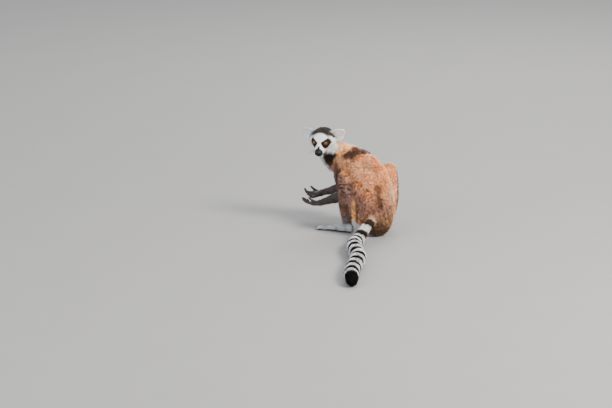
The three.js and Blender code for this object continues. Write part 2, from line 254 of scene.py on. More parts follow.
# ---- shading
class NodeGraph:
    """Adds and feeds shader nodes."""

    def __init__(self, tree: Tree) -> None:
        """Keeps the tree that the nodes are added to."""
        self.tree = tree

    def feed(self, socket: Socket, value: object) -> None:
        """Links an input to a socket, or sets its value.

        Args:
            socket: The input.
            value: A socket or a value.
        """
        if isinstance(value, Socket):
            self.tree.links.new(value, socket)
        else:
            socket.default_value = value

    def fill(self, node: Node, **settings: object) -> Node:
        """Sets a node's properties and feeds its inputs.

        Args:
            node: The node.
            **settings: Properties, or sockets or values for inputs, by name.

        Returns:
            The same node.
        """
        for key, value in settings.items():
            if hasattr(node, key):
                setattr(node, key, value)
            else:
                self.feed(node.inputs[key.replace("_", " ")], value)
        return node

    def add(self, kind: str, **settings: object) -> Node:
        """Adds a node by its type name without the prefix, and fills it."""
        return self.fill(self.tree.nodes.new("ShaderNode" + kind), **settings)

    def place(self) -> Socket:
        """Gives the Object coordinates."""
        return self.add("TexCoord").outputs["Object"]

    def maths(self, operation: str, first: object, second: object = 0.0) -> Socket:
        """Adds a Math node.

        Args:
            operation: What it does.
            first: A socket or a number.
            second: Another.

        Returns:
            Its output.
        """
        node = self.add("Math", operation=operation)
        for socket, value in zip(node.inputs, (first, second)):
            self.feed(socket, value)
        return node.outputs[0]

    def scaled(self, colour: object, gain: object) -> Socket:
        """Multiplies a colour by a number."""
        return self.add("VectorMath", operation="SCALE", Vector=colour, Scale=gain).outputs[0]

    def shared(self, build: Callable[[], Tree], **inputs: object) -> Sockets:
        """Places the group that a function of the same name builds once, and gives its outputs."""
        tree = bpy.data.node_groups.get(build.__name__) or build()
        return self.add("Group", node_tree=tree, **inputs).outputs


def new_group(
    name: str, inputs: dict[str, str], outputs: dict[str, str]
) -> tuple[NodeGraph, Sockets, Sockets]:
    """Starts a node group.

    Args:
        name: The group's name.
        inputs: The kind of each named input, Color or Float.
        outputs: The kind of each named output.

    Returns:
        Its graph, the sockets that it is given and the sockets that it must feed.
    """
    tree = bpy.data.node_groups.new(name, "ShaderNodeTree")
    for side, sockets in (("INPUT", inputs), ("OUTPUT", outputs)):
        for label, kind in sockets.items():
            tree.interface.new_socket(label, in_out=side, socket_type="NodeSocket" + kind)
    given = tree.nodes.new("NodeGroupInput").outputs
    return NodeGraph(tree), given, tree.nodes.new("NodeGroupOutput").inputs


def coat_variation() -> Tree:
    """Builds the hair's colour changes: dark roots, partly painted shade deep in the coat, pale
    tips, streaks and woolly patches.

    Returns:
        The group, which turns a marking and a place along the strand into a colour and roughness.
    """
    levels = dict.fromkeys(("Strand", "Root shade", "Tip lift", "Patch"), "Float")
    made = {"Color": "Color", "Roughness": "Float"}
    graph, given, wanted = new_group("coat_variation", {"Marking": "Color"} | levels, made)
    maths, place, shaded = graph.maths, graph.place(), given["Root shade"]
    patches = graph.add("TexNoise", Vector=place, Scale=70.0, Detail=3.0, Roughness=0.6).outputs[0]
    streaks = graph.add("TexNoise", Vector=place, Scale=900.0, Detail=1.0, Roughness=0.5).outputs[0]
    patch = maths("MULTIPLY", maths("SUBTRACT", patches, 0.5), given["Patch"])
    fine = maths("MULTIPLY", maths("SUBTRACT", streaks, 0.5), 0.5)
    # Dark roots: the greyer under-hair and painted shade deep in the coat.
    along = maths("POWER", given["Strand"], 0.7)
    shade = maths("ADD", shaded, maths("MULTIPLY", along, maths("SUBTRACT", 1.0, shaded)))
    tips = maths("MULTIPLY", maths("POWER", given["Strand"], 3.0), given["Tip lift"])
    gain = maths("ADD", maths("ADD", shade, tips), maths("ADD", patch, fine))
    graph.feed(wanted["Color"], graph.scaled(given["Marking"], maths("MAXIMUM", gain, 0.05)))
    graph.feed(wanted["Roughness"], maths("ADD", 0.55, maths("MULTIPLY", streaks, 0.3)))
    return graph.tree


def mottle() -> Tree:
    """Builds a fine unevenness of a colour.

    Returns:
        The group, which turns a colour, a scale, a detail, a least gain and a spread into a
        mottled colour and a height.
    """
    levels = dict.fromkeys(("Scale", "Detail", "Low", "Spread"), "Float")
    made = {"Color": "Color", "Height": "Float"}
    graph, given, wanted = new_group("mottle", {"Base": "Color"} | levels, made)
    noise = graph.add(
        "TexNoise", Vector=graph.place(), Scale=given["Scale"], Detail=given["Detail"]
    ).outputs[0]
    gain = graph.maths("ADD", given["Low"], graph.maths("MULTIPLY", noise, given["Spread"]))
    graph.feed(wanted["Color"], graph.scaled(given["Base"], gain))
    graph.feed(wanted["Height"], noise)
    return graph.tree


def new_material(name: str) -> tuple[Material, NodeGraph, Node]:
    """Starts a material.

    Args:
        name: The material's name.

    Returns:
        The material, its graph and its Principled shader.
    """
    material = bpy.data.materials.new(name)
    material.use_nodes = True
    graph = NodeGraph(material.node_tree)
    return material, graph, material.node_tree.nodes["Principled BSDF"]


def hair_colour(graph: NodeGraph, shade: float, lift: float, patch: float) -> tuple:
    """Reads the marking through the coat's colour changes.

    Args:
        graph: The material's graph.
        shade: How bright a strand's root is, against its middle.
        lift: How much brighter its tip is.
        patch: How strong the woolly patches are.

    Returns:
        The marking's outputs and the group's.
    """
    marking = graph.add("Attribute", attribute_name=MARKING).outputs
    strand = {"Marking": marking["Color"], "Strand": marking["Alpha"]}
    levels = {"Root_shade": shade, "Tip_lift": lift, "Patch": patch}
    return marking, graph.shared(coat_variation, **strand, **levels)


@dataclass(frozen=True)
class CoatFinish:
    """Hair: coloured by its marking, dark at the root, partly painted shade deep in the coat, and
    pale at the tip.
    """

    name: str
    root_shade: float = 0.45
    tip_lift: float = 0.25
    patch: float = 0.40
    sheen: float = 0.04

    def material(self) -> Material:
        """Builds the material.

        Returns:
            The material.
        """
        material, graph, shader = new_material(self.name)
        _, hair = hair_colour(graph, self.root_shade, self.tip_lift, self.patch)
        graph.fill(shader, Base_Color=hair["Color"], Roughness=hair["Roughness"])
        graph.fill(shader, Specular_IOR_Level=0.08, Sheen_Weight=self.sheen, Sheen_Roughness=0.5)
        return material


@dataclass(frozen=True)
class SkinFinish:
    """The skin under the coat: the same markings, with fine creases, glossy on the nose."""

    name: str = "skin"
    creases: float = 2400.0
    pores: float = 1400.0
    relief: float = 0.00012
    dull: float = 0.78
    glossy: float = 0.40

    def material(self) -> Material:
        """Builds the material.

        Returns:
            The material.
        """
        material, graph, shader = new_material(self.name)
        marking, hair = hair_colour(graph, 0.9, 0.0, 0.3)
        maths, place = graph.maths, graph.place()
        cells = graph.add(
            "TexVoronoi", feature="DISTANCE_TO_EDGE", Vector=place, Scale=self.creases
        ).outputs["Distance"]
        pores = graph.add("TexNoise", Vector=place, Scale=self.pores, Detail=3.0).outputs[0]
        edges = maths("MINIMUM", maths("MULTIPLY", cells, 4.0), 1.0)
        height = maths("ADD", edges, maths("MULTIPLY", pores, 0.6))
        bump = graph.add("Bump", Strength=0.35, Distance=self.relief, Height=height)
        gloss = maths("MULTIPLY", marking["Alpha"], self.dull - self.glossy)
        graph.fill(shader, Base_Color=hair["Color"], Normal=bump.outputs["Normal"])
        rough = maths("SUBTRACT", self.dull, gloss)
        graph.fill(shader, Roughness=rough, Specular_IOR_Level=0.22)
        return material


@dataclass(frozen=True)
class EyeFinish:
    """A wet eye: black pupil, amber iris with fibres, dark rim and a brown white."""

    name: str = "eye"
    pupil: float = 12.5
    iris: float = 38.0
    reach: float = 60.0
    dark: Colour = (0.002, 0.002, 0.002)
    inner: Colour = (0.33, 0.10, 0.008)
    outer: Colour = (0.15, 0.034, 0.003)
    rim: Colour = (0.01, 0.006, 0.004)
    white: Colour = (0.05, 0.03, 0.02)

    def material(self) -> Material:
        """Builds the material.

        Returns:
            The material.
        """
        material, graph, shader = new_material(self.name)
        angle = graph.add("Attribute", attribute_name=GAZE).outputs["Fac"]
        bands = graph.add("ValToRGB", Fac=graph.maths("DIVIDE", angle, self.reach))
        stops = bands.color_ramp.elements
        stops[0].color, stops[1].color = (*self.dark, 1.0), (*self.white, 1.0)
        pupil, iris = self.pupil / self.reach, self.iris / self.reach
        for position, colour in (
            (pupil - 0.012, self.dark),
            (pupil + 0.012, self.inner),
            ((pupil + iris) / 2.0, self.inner),
            (iris - 0.05, self.outer),
            (iris + 0.02, self.rim),
        ):
            stops.new(position).color = (*colour, 1.0)
        fibres = {"Scale": 1800.0, "Detail": 3.0, "Low": 0.7, "Spread": 0.6}
        colour = graph.shared(mottle, Base=bands.outputs["Color"], **fibres)["Color"]
        graph.fill(shader, Base_Color=colour, Roughness=0.2, Specular_IOR_Level=0.15)
        graph.fill(shader, Coat_Weight=1.0, Coat_Roughness=0.03, Coat_IOR=1.34)
        return material


@dataclass(frozen=True)
class HornFinish:
    """Nails and whiskers: dark horn, faintly ribbed."""

    name: str = "horn"
    colour: Colour = (0.035, 0.03, 0.027)
    roughness: float = 0.35

    def material(self) -> Material:
        """Builds the material.

        Returns:
            The material.
        """
        material, graph, shader = new_material(self.name)
        ribs = {"Scale": 2600.0, "Detail": 2.0, "Low": 0.6, "Spread": 0.9}
        horn = graph.shared(mottle, Base=(*self.colour, 1.0), **ribs)
        bump = graph.add("Bump", Strength=0.3, Distance=0.0001, Height=horn["Height"])
        graph.fill(shader, Base_Color=horn["Color"], Roughness=self.roughness)
        graph.fill(shader, Normal=bump.outputs["Normal"])
        return material


@dataclass(frozen=True)
class FloorFinish:
    """A plain pale floor with a barely seen mottle."""

    name: str = "studio_floor"
    colour: Colour = (0.22, 0.218, 0.211)

    def material(self) -> Material:
        """Builds the material.

        Returns:
            The material.
        """
        material, graph, shader = new_material(self.name)
        spots = {"Scale": 6.0, "Detail": 4.0, "Low": 0.97, "Spread": 0.06}
        floor = graph.shared(mottle, Base=(*self.colour, 1.0), **spots)
        graph.fill(shader, Base_Color=floor["Color"], Roughness=0.85)
        return material


# ---- anatomy, read from the frame
class Zone(Enum):
    """The regions of the coat. Each solid belongs to one."""

    HEAD, EAR, NECK, TRUNK, UPPER_ARM, FOREARM, HAND, THIGH, SHIN, FOOT, TAIL = range(11)

    @classmethod
    def of(cls, node: str) -> "Zone":
        """Finds a solid's zone.

        Args:
            node: The solid's name.

        Returns:
            The zone.
        """
        if node.startswith(("nose", "eye")):
            return cls.HEAD
        return next(zone for zone in cls if node.upper().startswith(zone.name))


class Side(Enum):
    """A side of the animal, with the sign of its own right-hand axis."""

    LEFT = -1
    RIGHT = 1

    @property
    def label(self) -> str:
        """The side's name as node names end."""
        return self.name.lower()


@dataclass(frozen=True)
class Polyline:
    """A path of points in metres, such as a bone or the middle line of the tail."""

    points: Array

    @property
    def marks(self) -> Array:
        """The length along the path at each of its points."""
        steps = np.linalg.norm(np.diff(self.points, axis=0), axis=1)
        return np.concatenate([[0.0], np.cumsum(steps)])

    @property
    def length(self) -> float:
        """The whole length in millimetres."""
        return self.marks[-1] / MM

    @property
    def direction(self) -> Array:
        """The unit vector from the first point to the last."""
        return unit(self.points[-1] - self.points[0])

    def measure(self, places: Array) -> tuple[Array, Array, Array]:
        """Finds where places lie against the path.

        Args:
            places: Rows of points in metres.

        Returns:
            The length along the path, the distance from it, and its direction there.
        """
        best = np.full(len(places), np.inf)
        along = np.zeros(len(places))
        heading = np.zeros((len(places), 3))
        for start, step, passed in zip(self.points, np.diff(self.points, axis=0), self.marks):
            length = np.linalg.norm(step)
            share = np.clip((places - start) @ step / length**2, 0.0, 1.0)
            gap = np.linalg.norm(places - start - share[:, None] * step, axis=1)
            nearer = gap < best
            best[nearer] = gap[nearer]
            along[nearer] = passed + share[nearer] * length
            heading[nearer] = step / length
        return along / MM, best / MM, heading

    def at(self, along: Array) -> Array:
        """Gives the places at lengths along the path."""
        return np.stack([np.interp(along, self.marks / MM, axis) for axis in self.points.T], axis=1)


@dataclass(frozen=True)
class HeadFrame:
    """The head's own axes, set by its eyes and nose."""

    origin: Array
    right: Array
    forward: Array
    up: Array

    def local(self, places: Array) -> Array:
        """Gives places as millimetres right, forward and up of the head's origin."""
        axes = np.stack([self.right, self.forward, self.up], axis=1)
        return (places - self.origin) @ axes / MM

    def place(self, right: float, forward: float, up: float) -> Array:
        """Gives the point at millimetres right, forward and up of the head's origin."""
        shift = self.right * right + self.forward * forward + self.up * up
        return self.origin + shift * MM


# Points on the tail's middle line as it lies on the floor.
TAIL_ROUTE = (
    (-3, -18, 58), (-14, -40, 50), (-27, -59, 39), (-39, -78, 26), (-50, -105, 17),
    (-59, -142, 18), (-62, -186, 20), (-58, -240, 20), (-52, -296, 20), (-59, -352, 20),
    (-68, -408, 20), (-73, -464, 19), (-72, -512, 16), (-72, -530, 16),
)  # fmt: skip


@dataclass
class Anatomy:
    """Where the bones, the head and the tail lie, measured on the frame's solids."""

    nodes: dict[str, Thing]
    nose_drop: float = 29.2
    eye_forward: float = 26.0
    eye_up: float = 3.0
    tip_inset: float = 4.0
    end_share: float = 0.03

    def __post_init__(self) -> None:
        """Measures everything."""
        self.solids = {name: mesh_arrays(node.data) for name, node in self.nodes.items()}
        self.head = self._head_frame()
        self.nose = self.head.local(self.centre("nose")[None])[0]
        self.tail = self._tail_path()
        self.spine = self._spine_path()
        self.bones = self._limb_bones()
        self.eyes = [Eyeball(self, side) for side in Side]

    def centre(self, node: str) -> Array:
        """The middle of a node's box."""
        low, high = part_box(node)
        return (np.array(low) + np.array(high)) / 2.0

    def from_nose(self, points: Array) -> Array:
        """Gives places as rows of millimetres right of, ahead of and above the nose."""
        return (self.head.local(points) - self.nose).T

    def eye_gap(self, points: Array) -> Array:
        """How many millimetres each point lies from the middle of the nearest eye."""
        gaps = [np.linalg.norm(points - eye.centre, axis=1) for eye in self.eyes]
        return np.minimum(*gaps) / MM

    def _head_frame(self) -> HeadFrame:
        """Sets the head's axes: the nose lies ahead of the eyes and a known angle below.

        Returns:
            The head's axes.
        """
        left, right = self.centre("eye_left"), self.centre("eye_right")
        middle = (left + right) / 2.0
        lateral = unit(right - left)
        ahead = self.centre("nose") - middle
        ahead = unit(ahead - lateral * (ahead @ lateral))
        above = unit(np.cross(lateral, ahead))
        turn = math.radians(self.nose_drop)
        forward = ahead * math.cos(turn) + above * math.sin(turn)
        up = unit(np.cross(lateral, forward))
        origin = middle - (forward * self.eye_forward + up * self.eye_up) * MM
        return HeadFrame(origin, lateral, forward, up)

    def _bone(self, node: str, near: Array) -> Polyline:
        """Runs a line through a node along its longest axis.

        Args:
            node: The node.
            near: A point by the end where the line starts.

        Returns:
            The line.
        """
        points = self.solids[node][0]
        middle = points.mean(axis=0)
        axis = np.linalg.svd(points - middle, full_matrices=False)[2][0]
        along = (points - middle) @ axis
        low, high = np.quantile(along, [self.end_share, 1.0 - self.end_share])
        ends = [points[along <= low].mean(axis=0), points[along >= high].mean(axis=0)]
        return Polyline(np.array(sorted(ends, key=lambda end: np.linalg.norm(end - near))))

    def _limb_bones(self) -> dict[str, Polyline]:
        """Chains lines through each limb's lengths from the body outwards.

        Returns:
            The lines by node.
        """
        bones = {}
        for side in Side:
            for chain, near in (
                (("thigh", "shin", "foot"), self.tail.points[6]),
                (("upper_arm", "forearm", "hand"), self.centre("neck")),
            ):
                for part in chain:
                    bone = self._bone(f"{part}_{side.label}", near)
                    bones[f"{part}_{side.label}"] = bone
                    near = bone.points[-1]
            ear = f"ear_{side.label}"
            bones[ear] = self._bone(ear, self.head.origin)
        bones["neck"] = Polyline(self.spine.points[:-3:-1])
        return bones

    def _tail_path(self) -> Polyline:
        """Smooths the tail's middle line and ends it at the tip of the tail's solids.

        Returns:
            The line from the tail's root to its tip.
        """
        tip = min(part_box(name)[0][1] for name in self.nodes if name.startswith("tail_"))
        points = np.array(TAIL_ROUTE) * MM
        points[-1, 1] = tip + self.tip_inset * MM
        steps = np.linspace(0.0, len(points) - 1.0, 61)
        path = [np.interp(steps, np.arange(len(points)), axis) for axis in points.T]
        path = np.stack(path, axis=1)
        for _ in range(4):
            path[1:-1] = (path[:-2] + 2.0 * path[1:-1] + path[2:]) / 4.0
        return Polyline(path)

    def _spine_path(self, slices: int = 6) -> Polyline:
        """Runs a line through the middles of slices across the trunk.

        Args:
            slices: How many slices are taken.

        Returns:
            The line from the tail's root to the neck and the head.
        """
        points, root, neck = self.solids["trunk"][0], self.tail.points[0], self.centre("neck")
        axis = neck - root
        share = (points - root) @ axis / (axis @ axis)
        middles = []
        for index in range(slices):
            chosen = points[(share >= index / slices) & (share < (index + 1) / slices)]
            if len(chosen) > 3:
                middles.append((chosen.min(axis=0) + chosen.max(axis=0)) / 2.0)
        return Polyline(np.array([root, *middles[1:], neck, self.head.origin]))


@dataclass
class Eyeball:
    """An eyeball with a raised cornea, in the place of its solid, and the slit of its lids."""

    anatomy: Anatomy
    side: Side
    radius: float = 8.0
    outward: float = 19.0
    upward: float = 9.0
    glance: float = 7.0
    lid_width: float = 31.0
    lid_height: float = 28.0
    upper_lid: float = 0.84
    cornea: float = 0.7
    cornea_reach: float = 42.0

    def __post_init__(self) -> None:
        """Sets the eye's centre and axes."""
        head = self.anatomy.head
        out, lift = math.radians(self.outward) * self.side.value, math.radians(self.upward)
        level = head.forward * math.cos(out) + head.right * math.sin(out)
        self.centre = self.anatomy.centre(f"eye_{self.side.label}")
        self.axis = unit(level * math.cos(lift) + head.up * math.sin(lift))
        self.lateral = unit(np.cross(self.axis, head.up))
        self.above = np.cross(self.lateral, self.axis)

    def slit(self, points: Array) -> tuple[Array, Array, Array]:
        """Measures places against the opening of the lids.

        Args:
            points: Places near the eye.

        Returns:
            Their distances from the eye's middle in millimetres, how far each lies out from the
            middle of the opening, 1 at its edge, and how many degrees above the middle.
        """
        away = (points - self.centre) / MM
        gap = np.linalg.norm(away, axis=1)
        towards = away / np.maximum(gap, 1e-9)[:, None]
        ahead = towards @ self.axis
        across = np.degrees(np.arctan2(towards @ self.lateral, ahead))
        above = np.degrees(np.arctan2(towards @ self.above, ahead))
        height = np.where(above > 0.0, self.lid_height * self.upper_lid, self.lid_height)
        share = np.hypot(across / self.lid_width, above / height)
        return gap, np.where(ahead > 0.0, share, 9.0), above

    def build(self, finish: EyeFinish) -> Thing:
        """Makes the eyeball.

        Args:
            finish: Its finish.

        Returns:
            The eye's object.
        """
        turn = math.radians(self.glance)
        right = self.anatomy.head.right
        gaze = Vector(unit(self.axis * math.cos(turn) - right * math.sin(turn)))
        ball = bmesh.new()
        bmesh.ops.create_uvsphere(ball, u_segments=40, v_segments=48, radius=self.radius * MM)
        matrix = Vector((0.0, 0.0, 1.0)).rotation_difference(gaze).to_matrix()
        bmesh.ops.rotate(ball, cent=(0.0, 0.0, 0.0), matrix=matrix, verts=ball.verts)
        angles = []
        for vert in ball.verts:
            angles.append(math.degrees(vert.co.angle(gaze)))
            bulge = max(0.0, 1.0 - (angles[-1] / self.cornea_reach) ** 2)
            vert.co *= 1.0 + bulge * self.cornea / self.radius
        bmesh.ops.translate(ball, vec=Vector(self.centre), verts=ball.verts)
        mesh = close_shape(ball, f"eyeball_{self.side.label}")
        mesh.attributes.new(GAZE, "FLOAT", "POINT").data.foreach_set("value", angles)
        return present(mesh, finish.material(), "eye", f"eye_{self.side.label}")


# ---- hands and feet
@dataclass(frozen=True)
class Digit:
    """A finger or toe in its hand's or foot's frame: its root, its fan and each length's curl."""

    across: float
    forward: float
    fan: float
    lengths: Point
    curls: Point
    radius: float = 4.5


@dataclass(frozen=True)
class Extremity:
    """A hand or foot: where it starts, its axes, and its digits. dorsal is -1 if up is the palm."""

    side: Side
    origin: Array
    right: Array
    forward: Array
    up: Array
    lift: float
    dorsal: float
    digits: tuple[Digit, ...]

    def _direction(self, digit: Digit, curl: float) -> Array:
        """Finds the way one length of a digit points.

        Args:
            digit: The digit.
            curl: The length's angle from the level.

        Returns:
            The unit vector.
        """
        fan, tip = math.radians(digit.fan), math.radians(curl)
        level = self.right * math.sin(fan) + self.forward * math.cos(fan)
        return level * math.cos(tip) + self.up * math.sin(tip)

    def path(self, digit: Digit) -> Array:
        """Finds the joints of a digit.

        Args:
            digit: The digit.

        Returns:
            The joints from its root to its tip, in metres.
        """
        base = self.right * digit.across + self.forward * digit.forward + self.up * self.lift
        points = [self.origin + base * MM]
        for length, curl in zip(digit.lengths, digit.curls):
            points.append(points[-1] + self._direction(digit, curl) * length * MM)
        return np.array(points)

    def nail_frame(self, digit: Digit) -> tuple[Array, Array, Array]:
        """Finds where a digit's nail sits.

        Args:
            digit: The digit.

        Returns:
            The tip of the digit, the way it points there, and the way out of its back.
        """
        heading = self._direction(digit, digit.curls[-1])
        outward = self.up * self.dorsal
        outward = unit(outward - heading * (outward @ heading))
        return self.path(digit)[-1], heading, outward


def level_axes(degrees: float) -> tuple[Array, Array]:
    """Gives the right and forward axes of a level frame turned by an angle."""
    ahead, aside = math.cos(math.radians(degrees)), math.sin(math.radians(degrees))
    return np.array([ahead, aside, 0.0]), np.array([-aside, ahead, 0.0])


@dataclass(frozen=True)
class Pose:
    """How the hands and feet are set. Digits are across, fan and three lengths."""

    pelvis: Pair = (-4.0, 8.0)
    pelvis_turn: float = 12.0
    heels: tuple[Pair, ...] = ((61.0, 36.0), (47.0, 54.0))
    toe_turns: Pair = (50.0, 12.0)
    wrists: tuple[Point, ...] = ((-149.0, 150.0, 54.0), (-145.0, 196.0, 71.0))
    reaches: tuple[Point, ...] = ((-0.88, 0.4, -0.2), (-0.85, -0.45, -0.1))
    palms: tuple[Point, ...] = ((-0.2, 0.5, 0.86), (-0.1, -0.5, 0.86))
    toes: tuple[tuple[float, ...], ...] = (
        (-10.0, -11.0, 11, 10, 9),
        (-3.4, -3.0, 13, 12, 10),
        (3.4, 4.0, 13, 11, 9),
        (9.8, 12.0, 10, 9, 8),
    )
    fingers: tuple[tuple[float, ...], ...] = (
        (-10.0, -9.0, 10, 9, 8),
        (-3.4, -3.0, 12, 11, 9),
        (3.4, 4.0, 12, 11, 9),
        (9.8, 12.0, 11, 10, 8),
    )
    big_toe: Digit = Digit(-8.0, 42.0, -48.0, (12, 9, 7), (6.0, 0.0, -10.0), 5.8)
    foot_lift: float = 4.8
    hand_lift: float = 1.0
    toe_root: float = 66.0
    toe_curls: Point = (6.0, 0.0, -10.0)
    finger_root: float = 26.0
    finger_curls: Point = (10.0, 36.0, 68.0)
    thumb: Digit = Digit(9.0, 8.0, 34.0, (11, 7, 6), (22.0, 34.0, 50.0))

    def extremities(self) -> list[Extremity]:
        """Both feet and then both hands."""
        return self._feet() + self.hands()

    def _feet(self) -> list[Extremity]:
        """Sets both feet flat on the floor, each heel placed against the pelvis.

        Returns:
            The feet.
        """
        made = []
        for side, (out, back), toe_turn in zip(Side, self.heels, self.toe_turns):
            sign = side.value
            right, forward = level_axes(self.pelvis_turn)
            heel = np.array([*self.pelvis, 0.0]) + right * sign * out + forward * back
            axes = (*level_axes(self.pelvis_turn - sign * toe_turn), np.array([0.0, 0.0, 1.0]))
            digits = [
                Digit(across, self.toe_root, fan, tuple(lengths), self.toe_curls)
                for across, fan, *lengths in self.toes
            ]
            digits = [
                replace(digit, across=sign * digit.across, fan=sign * digit.fan)
                for digit in (*digits, self.big_toe)
            ]
            made.append(Extremity(side, heel * MM, *axes, self.foot_lift, 1.0, tuple(digits)))
        return made

    def hands(self) -> list[Extremity]:
        """Sets both hands with half-closed fingers.

        Returns:
            The hands, each with its palm up.
        """
        made = []
        for side, wrist, reach, palm in zip(Side, self.wrists, self.reaches, self.palms):
            forward = unit(np.array(reach))
            thumb = unit(np.cross(forward, np.array(palm))) * side.value
            inward = np.array(palm)
            inward = unit(inward - forward * (inward @ forward))
            digits = [
                Digit(across, self.finger_root, fan, tuple(lengths), self.finger_curls)
                for across, fan, *lengths in self.fingers
            ]
            axes = (np.array(wrist) * MM, thumb, forward, inward)
            made.append(Extremity(side, *axes, self.hand_lift, -1.0, (*digits, self.thumb)))
        return made


# ---- the lie and depth of the coat
@dataclass(frozen=True)
class Pelt:
    """One zone's coat: how deep it stands and what its tufts are like.

    depth, length and width are a tuft's, and density is the tufts to a square millimetre. clump is
    the spacing of the locks, pull how far tips draw together in a lock, jitter how far each tuft
    strays, curl how far whole locks turn aside and bunch how unevenly they stand.
    """

    depth: float
    length: float
    width: float
    density: float
    clump: float
    pull: float
    jitter: float
    curl: float
    bunch: float


PELTS: dict[Zone, Pelt] = {
    Zone.HEAD: Pelt(2.4, 6.5, 0.42, 2.8, 2.6, 0.30, 0.14, 0.10, 0.2),
    Zone.EAR: Pelt(1.3, 5.5, 0.50, 2.7, 2.5, 0.25, 0.18, 0.15, 0.3),
    Zone.NECK: Pelt(7.5, 15.0, 0.70, 1.25, 4.5, 0.42, 0.24, 0.25, 0.5),
    Zone.TRUNK: Pelt(6.8, 11.5, 0.69, 1.11, 4.8, 0.52, 0.30, 0.42, 1.0),
    Zone.UPPER_ARM: Pelt(6.0, 13.0, 0.71, 1.12, 4.5, 0.45, 0.24, 0.30, 0.5),
    Zone.FOREARM: Pelt(4.0, 9.5, 0.59, 1.26, 3.6, 0.40, 0.16, 0.22, 0.3),
    Zone.HAND: Pelt(0.7, 3.0, 0.36, 1.45, 2.0, 0.20, 0.16, 0.10, 0.2),
    Zone.THIGH: Pelt(6.2, 10.5, 0.68, 1.15, 4.6, 0.52, 0.30, 0.42, 1.0),
    Zone.SHIN: Pelt(4.8, 9.0, 0.63, 1.30, 4.0, 0.50, 0.28, 0.36, 0.8),
    Zone.FOOT: Pelt(0.9, 3.6, 0.40, 1.55, 2.2, 0.20, 0.16, 0.10, 0.2),
    Zone.TAIL: Pelt(6.5, 15.0, 0.69, 0.97, 4.5, 0.30, 0.14, 0.15, 0.3),
}

# Sizes at the crown, the nape, the cheek, the muzzle and the eyelids.
HEAD_SIZES = {
    "depth": (3.6, 6.0, 6.5, 0.7, 0.6),
    "length": (9.0, 13.0, 14.0, 2.6, 2.2),
    "width": (0.52, 0.62, 0.60, 0.34, 0.30),
    "density": (2.0, 1.45, 1.9, 3.4, 4.4),
}


